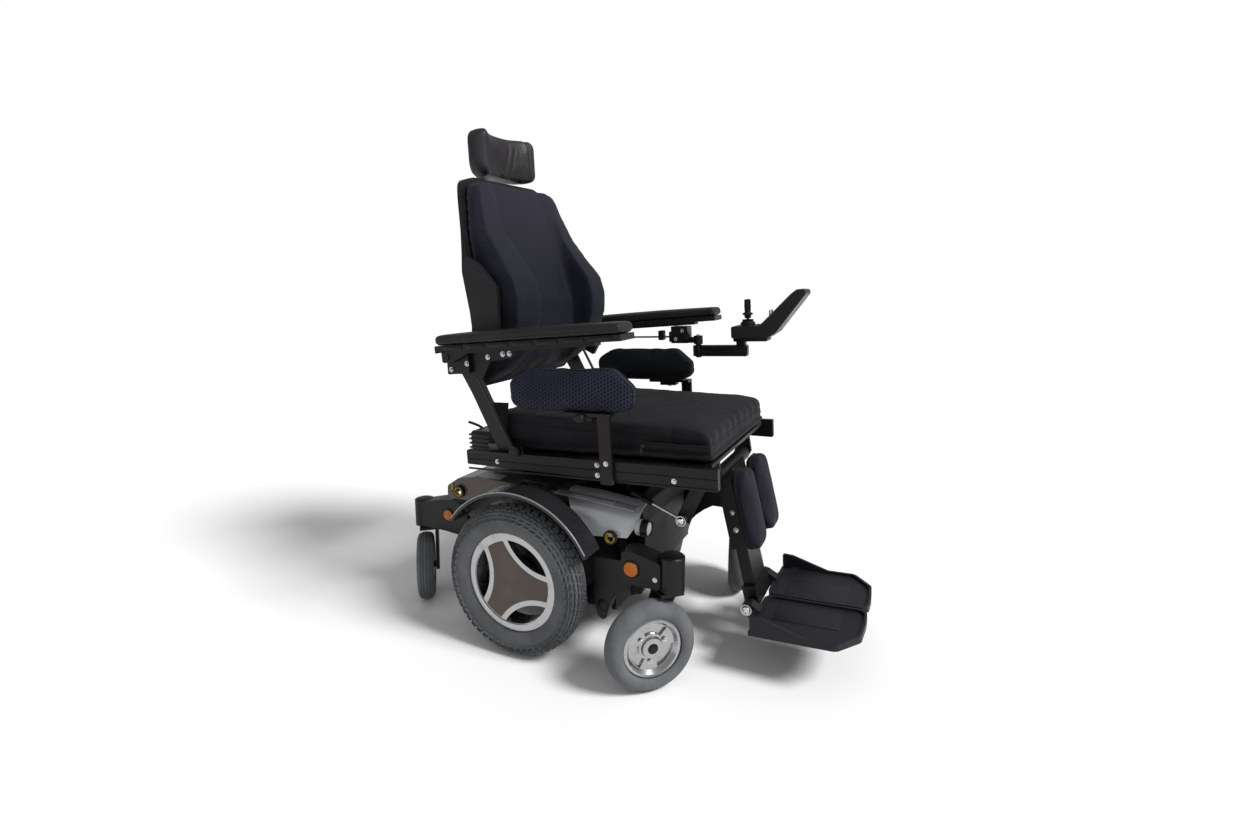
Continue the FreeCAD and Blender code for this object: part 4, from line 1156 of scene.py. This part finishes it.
class WHEELCHAIR_OT_suspension_trim(bpy.types.Operator):
    """Add reflectors, barrel caps and bolts on the suspension arms"""

    bl_idname = "wheelchair.suspension_trim"
    bl_label = "Suspension trim"

    def execute(self, context):
        for side, sign in SIDES.items():
            outward = (0, sign, 0)
            self.reflector(f"front_reflector_{side}", (285, sign * 289, 253), 17.5, outward,
                           f"front_suspension_{side}")
            self.reflector(f"rear_reflector_{side}", (-297, sign * 183.6, 240), 16.0, outward,
                           f"rear_suspension_{side}")
            caps = bmesh.new()
            add_turned(caps, [(0, 5), (12, 4.6), (24, 2.5), (26.6, 0), (26.6, -4), (0, -4)],
                       (369, sign * 263, 288), (0, 0, 1), 36)
            add_turned(caps, [(0, 3.5), (9, 3.2), (15, 0), (15, -3), (0, -3)],
                       (204, sign * 262, 140), outward, 28)
            place_piece(f"front_arm_caps_{side}", caps, f"front_suspension_{side}",
                        "black_plastic")
            bolts = bmesh.new()
            add_bolts(bolts, [(340, sign * 288.4, 240)], 3.6, 3.0, outward)
            place_piece(f"front_arm_bolts_{side}", bolts, f"front_suspension_{side}",
                        "bright_steel")
            caps = bmesh.new()
            add_turned(caps, [(0, 4), (12, 3.6), (22, 1.5), (24.4, 0), (24.4, -4), (0, -4)],
                       (-400, sign * 160, 262), (0, 0, 1), 36)
            place_piece(f"rear_arm_cap_{side}", caps, f"rear_suspension_{side}",
                        "black_plastic")
        return {"FINISHED"}

    def reflector(self, name, centre, radius, axis, body):
        bm = bmesh.new()
        add_turned(bm, [(0, 4.4), (radius * 0.6, 4.0), (radius * 0.88, 2.8), (radius * 0.96, 0.4),
                        (radius * 0.96, -1.5), (0, -1.5)], centre, axis, 36)
        place_piece(name, bm, body, "amber_lens")
        ring = bmesh.new()
        add_turned(ring, [(radius * 0.95, 1.8), (radius * 1.04, 2.2), (radius * 1.1, 0.6),
                          (radius * 1.1, -1.5), (radius * 0.95, -1.5), (radius * 0.95, 1.8)],
                   centre, axis, 36)
        place_piece(name + "_ring", ring, body, "black_plastic")


class WHEELCHAIR_OT_seat_trim(bpy.types.Operator):
    """Add rail flanges, bolts, belt, strut and the ribs of the electronics box"""

    bl_idname = "wheelchair.seat_trim"
    bl_label = "Seat trim"

    def execute(self, context):
        apron = bmesh.new()
        add_block(apron, (424, -214, 449), (440, 214, 458.5), 2.0)
        place_piece("seat_front_edge", apron, "seat", "black_steel", SEAT)
        for side, sign in SIDES.items():
            y0, y1 = sorted((sign * 249.8, sign * 252.0))
            rails = bmesh.new()
            for low, high in ((453, 459), (434, 437), (412, 417)):
                add_block(rails, (-166, y0, low), (196, y1, high), 0.7)
                add_block(rails, (233, y0, low), (460, y1, high), 0.7)
            place_piece(f"rail_flanges_{side}", rails, "seat", "black_steel", SEAT)
            bolts = bmesh.new()
            add_bolts(bolts, [(188, sign * 251, 448), (188, sign * 251, 425),
                              (368, sign * 251, 427), (-80, sign * 251, 436)], 4.0, 3.4,
                      (0, sign, 0))
            place_piece(f"rail_bolts_{side}", bolts, "seat", "bright_steel", SEAT)
            bolts = bmesh.new()
            add_bolts(bolts, [(215, sign * 260.4, 455)], 4.0, 3.4, (0, sign, 0))
            place_piece(f"thigh_post_bolt_{side}", bolts, f"thigh_support_{side}",
                        "bright_steel", SEAT)
            self.strut(side, sign)
            self.knob(side, sign)
            self.belt(side, sign)
        ribs = bmesh.new()
        for number in range(6):
            w = 424 + number * 11
            add_block(ribs, (-209.4, -192, w), (-136, 192, w + 4.5), 1.2)
        place_piece("electronics_ribs", ribs, "seat", "black_plastic", SEAT)
        place_tube("release_lever", [(-186, -150, 480), (-200, -150, 492), (-222, -150, 499),
                                     (-240, -150, 503)], 3.4, "seat", "black_plastic",
                   "black_plastic", SEAT)
        return {"FINISHED"}

    def strut(self, side, sign):
        y = sign * 186
        low, high = mm(361, y, 338), mm(240, y, 384)
        place_piece(f"strut_{side}", self.rod(low, high, 3.6), "seat", "bright_steel")
        place_piece(f"strut_sleeve_{side}", self.rod(high, high.lerp(low, 0.42), 6.0), "seat",
                    "black_steel")
        ends = bmesh.new()
        add_bolts(ends, [(361, y + sign * 9, 338)], 8.0, 5.0, (0, sign, 0))
        add_turned(ends, [(0, 9), (10, 9), (10, -9), (0, -9)], (361, y, 338), (0, 1, 0), 28)
        place_piece(f"strut_end_{side}", ends, "seat", "bright_steel")
        plate = bmesh.new()
        y0, y1 = sorted((sign * 172, sign * 176))
        add_block(plate, (-16, y0, -6), (16, y1, 88), 2.0)
        turn = Matrix.Translation(mm(361, 0, 338)) @ Matrix.Rotation(math.radians(24), 4, "Y")
        place_piece(f"strut_plate_{side}", plate, "seat", "black_steel", turn)

    def rod(self, start, end, radius):
        bm = bmesh.new()
        length = (end - start).length / MM
        profile = [(0, 0), (radius - 0.5, 0), (radius, 0.5), (radius, length - 0.5),
                   (radius - 0.5, length), (0, length)]
        add_turned(bm, profile, start / MM, (end - start).normalized(), 20)
        return bm

    def knob(self, side, sign):
        body = f"thigh_support_{side}"
        bm = bmesh.new()
        add_turned(bm, [(0, 9), (9, 8.5), (12, 5), (12, -3), (8, -6), (0, -6)],
                   (160, sign * 262, 553), (0, sign, 0), 10)
        add_block(bm, (140, min(sign * 236, sign * 262), 547),
                  (188, max(sign * 236, sign * 262), 557), 2.0)
        place_piece(f"pad_clamp_{side}", bm, body, "black_plastic", SEAT)

    def belt(self, side, sign):
        """A lap belt half: webbing folded over the cushion's edge, and its end plate."""
        bm = bmesh.new()
        outer = 233.5 if sign < 0 else 232.5
        y0, y1 = sorted((sign * (outer - 1.6), sign * outer))
        add_block(bm, (-116, y0, 470), (-66, y1, 575), 0.6)
        verts = [vert for vert in bm.verts if vert.co.z > 0.55]
        bmesh.ops.translate(bm, vec=mm(16, -sign * 2, 0), verts=verts)
        place_piece(f"belt_webbing_{side}", bm, "seat", "webbing", SEAT)
        plate = bmesh.new()
        points = [(-112, 432), (-70, 432), (-66, 474), (-116, 474)]
        verts = [plate.verts.new(mm(u, sign * (outer - 2.4), w)) for u, w in points]
        face = plate.faces.new(verts)
        made = bmesh.ops.extrude_face_region(plate, geom=[face])["geom"]
        moved = [item for item in made if isinstance(item, bmesh.types.BMVert)]
        bmesh.ops.translate(plate, vec=mm(0, sign * 3.2, 0), verts=moved)
        place_piece(f"belt_end_{side}", plate, "seat", "grey_plastic", SEAT)


class WHEELCHAIR_OT_arm_trim(bpy.types.Operator):
    """Add bracket bolts, tray recesses, rods and clamps of the armrests"""

    bl_idname = "wheelchair.arm_trim"
    bl_label = "Armrest trim"

    def execute(self, context):
        for side, sign in SIDES.items():
            bolts = bmesh.new()
            places = [(-118, 286.4, 674), (-66, 275.4, 688), (-24, 275.4, 695), (-6, 275.4, 696),
                      (-165, 286.4, 660)]
            add_bolts(bolts, [(u, sign * y, w) for u, y, w in places], 4.2, 3.4, (0, sign, 0))
            place_piece(f"bracket_bolts_{side}", bolts, "arm_linkage", "bright_steel",
                        SEAT)
            body = f"armrest_{side}"
            tray = bmesh.new()
            y0, y1 = sorted((sign * 330.6, sign * 333.4))
            for start in range(-140, 250, 62):
                add_block(tray, (start, y0, 708.5), (start + 50, y1, 717.5), 1.4)
            place_piece(f"tray_panels_{side}", tray, body, "brown_steel", ARM)
            end = bmesh.new()
            add_block(end, (-171, min(sign * 268, sign * 329), 702),
                      (-166.4, max(sign * 268, sign * 329), 718), 1.6)
            add_bolts(end, [(-171, sign * 298, 710)], 4, 2.6, (-1, 0, 0))
            place_piece(f"tray_end_{side}", end, body, "black_plastic", ARM)
        rod = bmesh.new()
        add_turned(rod, [(0, 0), (3.0, 0), (3.0, 178), (0, 178)], (-6, 296, 681), (1, 0, 0), 20)
        place_piece("clamp_rod", rod, "armrest_left", "bright_steel", SEAT)
        clamp = bmesh.new()
        add_block(clamp, (-12, 288, 676), (6, 304, 700), 2.0)
        add_block(clamp, (120, 284, 672), (136, 306, 700), 2.0)
        add_block(clamp, (160, 268.5, 668), (170, 311, 698), 2.0)
        add_block(clamp, (206, 268.5, 668), (212, 311, 694), 2.0)
        place_piece("clamp_blocks", clamp, "armrest_left", "black_steel", SEAT)
        knob = bmesh.new()
        add_turned(knob, [(0, 6), (8, 5.5), (10, 3), (10, -2), (5, -4), (4, -10), (0, -10)],
                   (216, 268, 688), (0, -1, 0), 10)
        place_piece("clamp_knob", knob, "armrest_left", "black_plastic", SEAT)
        bolts = bmesh.new()
        add_bolts(bolts, [(180, 271.4, 676), (200, 271.4, 700)], 3.6, 3, (0, -1, 0))
        add_bolts(bolts, [(242, 290, 684.4)], 5.0, 3.6, (0, 0, 1))
        place_piece("clamp_bolts", bolts, "armrest_left", "bright_steel", SEAT)
        return {"FINISHED"}


class WHEELCHAIR_OT_joystick_trim(bpy.types.Operator):
    """Add the joystick's boot, display, edge trim, swing bar bolts and cable"""

    bl_idname = "wheelchair.joystick_trim"
    bl_label = "Joystick trim"

    def execute(self, context):
        collar = [(0, 750), (7.5, 750), (8.5, 747), (13.5, 745), (14.5, 741), (8.6, 738),
                  (9.4, 734), (8.6, 731), (0, 731)]
        bellows = [(14.2, 727.5), (16.5, 727), (14.6, 723), (20.5, 718), (20.0, 712.6),
                   (14.2, 712.6), (14.2, 727.5)]
        for name, profile, body in (("stick_boot", collar, "lever"),
                                    ("boot_bellows", bellows, "joystick")):
            bm = bmesh.new()
            add_turned(bm, [(r, h - 712) for r, h in profile], (388, 290, 712), (0, 0, 1), 40)
            place_piece(name, bm, body, "soft_black", SEAT, sharp=70)
        ring = bmesh.new()
        add_turned(ring, [(17.4, 1.8), (20.5, 1.8), (22.0, 0.2), (22.0, -1.0), (17.4, -1.0),
                          (17.4, 1.8)], (388, 290, 711), (0, 0, 1), 40)
        place_piece("boot_ring", ring, "joystick", "black_plastic", SEAT)
        slope = math.degrees(math.atan2(75, 78))
        wing = SEAT @ Matrix.Translation(mm(479, 290, 759.5)) @ Matrix.Rotation(
            math.radians(-slope), 4, "Y")
        glass = bmesh.new()
        add_block(glass, (-6, -27, 0.2), (44, 27, 1.4), 0.8)
        place_piece("display_glass", glass, "joystick", "screen", wing)
        bezel = bmesh.new()
        for low, high in (((-9, -31, 0), (-6, 31, 2.0)), ((44, -31, 0), (47, 31, 2.0)),
                          ((-9, -31, 0), (47, -27, 2.0)), ((-9, 27, 0), (47, 31, 2.0))):
            add_block(bezel, low, high, 0.7)
        place_piece("display_bezel", bezel, "joystick", "control_plastic",
                    wing)
        for side, sign in SIDES.items():
            y = 290 + sign * 37.4
            points = [(424, y, 711), (432, y, 715), (441, y, 722.5), (470, y, 750.5),
                      (500, y, 779.5), (519, y, 797.5), (530, y, 804)]
            place_tube(f"wing_edge_{side}", points, 1.3, "joystick", "grey_plastic",
                       "control_plastic", SEAT)
        keys = bmesh.new()
        for number in range(3):
            add_turned(keys, [(0, 2.4), (3.4, 2.2), (4.4, 1.0), (4.4, -1), (0, -1)],
                       (412, 272 + number * 18, 711.2), (0, 0, 1), 20)
        place_piece("control_keys", keys, "joystick", "grey_plastic", SEAT)
        knob = bmesh.new()
        add_turned(knob, [(9.0, 0), (9.7, 1.0), (9.7, 3.0), (9.0, 4.0), (9.0, 0)],
                   (388, 290, 762), (0, 0, 1), 32)
        place_piece("stick_grip_ring", knob, "lever", "soft_black", SEAT)
        base = bmesh.new()
        add_block(base, (352, 262, 668), (446, 318, 678.4), 3.0)
        add_bolts(base, [(368, 275.6, 666)], 3.4, 3.0, (0, -1, 0))
        place_piece("control_base", base, "joystick", "black_plastic", SEAT)
        bar = bmesh.new()
        add_block(bar, (260, 274.4, 637), (378, 276.4, 645), 0.8)
        add_block(bar, (383.6, 280, 630), (386.4, 300, 652), 1.0)
        place_piece("swing_bar_trim", bar, "joystick", "black_plastic", SEAT)
        points = [(366, 268, 678), (366, 268, 660), (352, 267, 646), (328, 266, 643),
                  (300, 269, 641), (274, 269, 641)]
        cable = place_tube("control_cable", points, 3.0, "joystick", "soft_black",
                           "black_plastic", SEAT, resolution=4)
        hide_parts("joystick_cable")
        return {"FINISHED"}


class WHEELCHAIR_OT_legrest_trim(bpy.types.Operator):
    """Add the leg support's bolts and the footplates' mats"""

    bl_idname = "wheelchair.legrest_trim"
    bl_label = "Leg rest trim"

    def execute(self, context):
        for side, sign in SIDES.items():
            bolts = bmesh.new()
            add_bolts(bolts, [(0, sign * 55.4, -100), (0, sign * 55.4, -142)], 4.2, 3.4,
                      (0, sign, 0))
            place_piece(f"leg_bolts_{side}", bolts, "leg_support", "bright_steel",
                        LEG)
            hinge = bmesh.new()
            add_turned(hinge, [(0, 5.5), (4, 5.5), (4.6, 7.0), (9.4, 6.0), (10.5, 3.5),
                               (10.5, 0.3), (13.0, 0.3), (13.0, -1.4), (0, -1.4)],
                       (0, sign * 105.0, 0), (0, sign, 0), 30)
            place_piece(f"foot_pivot_{side}", hinge, "leg_extension", "bright_steel",
                        FOOT)
            mat = bmesh.new()
            y0, y1 = sorted((sign * 18, sign * 104))
            add_block(mat, (58, y0, -11.4), (204, y1, -9.8), 0.8)
            place_piece(f"foot_mat_{side}", mat, f"footrest_{side}", "foot_plastic",
                        FOOT)
        return {"FINISHED"}


class WHEELCHAIR_OT_stage(bpy.types.Operator):
    """Set out the pale floor, the soft light and the camera"""

    bl_idname = "wheelchair.stage"
    bl_label = "Stage"

    def execute(self, context):
        scene = context.scene
        bm = bmesh.new()
        bmesh.ops.create_grid(bm, x_segments=1, y_segments=1, size=30)
        mesh = bpy.data.meshes.new("floor")
        bm.to_mesh(mesh)
        bm.free()
        paper = Finish("Pale floor", Roughness=0.9)
        tone = paper.mix(paper.noise(3, 3), (0.94, 0.94, 0.94, 1), (0.97, 0.97, 0.97, 1))
        paper.set(Base_Color=tone)
        mesh.materials.append(paper.material)
        floor = bpy.data.objects.new("floor", mesh)
        floor.location.z = -0.0008
        scene.collection.objects.link(floor)
        world = bpy.data.worlds.new("Plain surround")
        world.use_nodes = True
        tree = world.node_tree
        surround = tree.nodes["Background"]
        surround.inputs["Strength"].default_value = settings().stage.sky_strength
        backdrop = tree.nodes.new("ShaderNodeBackground")
        for white in (surround, backdrop):
            white.inputs["Color"].default_value = (1.0, 1.0, 1.0, 1.0)
        path = tree.nodes.new("ShaderNodeLightPath")
        seen = tree.nodes.new("ShaderNodeMixShader")
        tree.links.new(path.outputs["Is Camera Ray"], seen.inputs["Fac"])
        tree.links.new(surround.outputs["Background"], seen.inputs[1])
        tree.links.new(backdrop.outputs["Background"], seen.inputs[2])
        tree.links.new(seen.outputs["Shader"], tree.nodes["World Output"].inputs["Surface"])
        scene.world = world
        scene.view_settings.view_transform = "Standard"
        self.soft_sun(scene, settings().stage.key_power)
        self.camera(scene)
        return {"FINISHED"}

    def soft_sun(self, scene, power):
        """A broad light from the chair's front, so its shadows fall behind it."""
        data = bpy.data.lights.new("main_light", "SUN")
        data.angle = math.radians(LIGHT_SPREAD)
        data.energy = power
        light = bpy.data.objects.new("main_light", data)
        light.location = (2, -1, 3)
        aim = Vector(LIGHT_AIM)
        light.rotation_euler = aim.to_track_quat("-Z", "Y").to_euler()
        scene.collection.objects.link(light)

    def camera(self, scene):
        data = bpy.data.cameras.new("camera")
        data.sensor_width = 36.0
        data.lens = LENS
        data.shift_x = -0.0063
        data.shift_y = -0.0386
        data.clip_start = 0.05
        camera = bpy.data.objects.new("camera", data)
        azimuth, height = (math.radians(angle) for angle in CAMERA_TURN)
        back = Vector((math.sin(azimuth) * math.cos(height),
                       -math.cos(azimuth) * math.cos(height), math.sin(height)))
        camera.location = CAMERA_PLACE
        camera.rotation_mode = "QUATERNION"
        camera.rotation_quaternion = (-back).to_track_quat("-Z", "Y")
        scene.collection.objects.link(camera)
        scene.camera = camera


OPERATORS = (
    WHEELCHAIR_OT_finishes, WHEELCHAIR_OT_seat_cushion, WHEELCHAIR_OT_back_cushion,
    WHEELCHAIR_OT_headrest, WHEELCHAIR_OT_arm_pads, WHEELCHAIR_OT_thigh_pads,
    WHEELCHAIR_OT_calf_pads, WHEELCHAIR_OT_drive_tyres, WHEELCHAIR_OT_casters,
    WHEELCHAIR_OT_base_trim, WHEELCHAIR_OT_suspension_trim, WHEELCHAIR_OT_seat_trim,
    WHEELCHAIR_OT_arm_trim, WHEELCHAIR_OT_joystick_trim, WHEELCHAIR_OT_legrest_trim,
    WHEELCHAIR_OT_stage,
)


class WHEELCHAIR_PT_panel(bpy.types.Panel):
    bl_idname = "WHEELCHAIR_PT_panel"
    bl_label = "Powered wheelchair"
    bl_space_type = "VIEW_3D"
    bl_region_type = "UI"
    bl_category = "Wheelchair"

    def draw(self, context):
        chair = context.scene.wheelchair
        for group in (chair.upholstery, chair.wheels, chair.trim, chair.stage):
            box = self.layout.box()
            for name in group.__annotations__:
                box.prop(group, name)
        for operator in OPERATORS:
            self.layout.operator(operator.bl_idname)


GROUPS = (UpholsterySettings, WheelSettings, TrimSettings, StageSettings, WheelchairSettings)


def register():
    for item in GROUPS + OPERATORS + (WHEELCHAIR_PT_panel,):
        bpy.utils.register_class(item)
    bpy.types.Scene.wheelchair = PointerProperty(type=WheelchairSettings)


def unregister():
    del bpy.types.Scene.wheelchair
    for item in reversed(GROUPS + OPERATORS + (WHEELCHAIR_PT_panel,)):
        bpy.utils.unregister_class(item)


def main():
    register()
    for operator in OPERATORS:
        name = operator.bl_idname.split(".")[1]
        getattr(bpy.ops.wheelchair, name)()


if __name__ == "__main__":
    main()
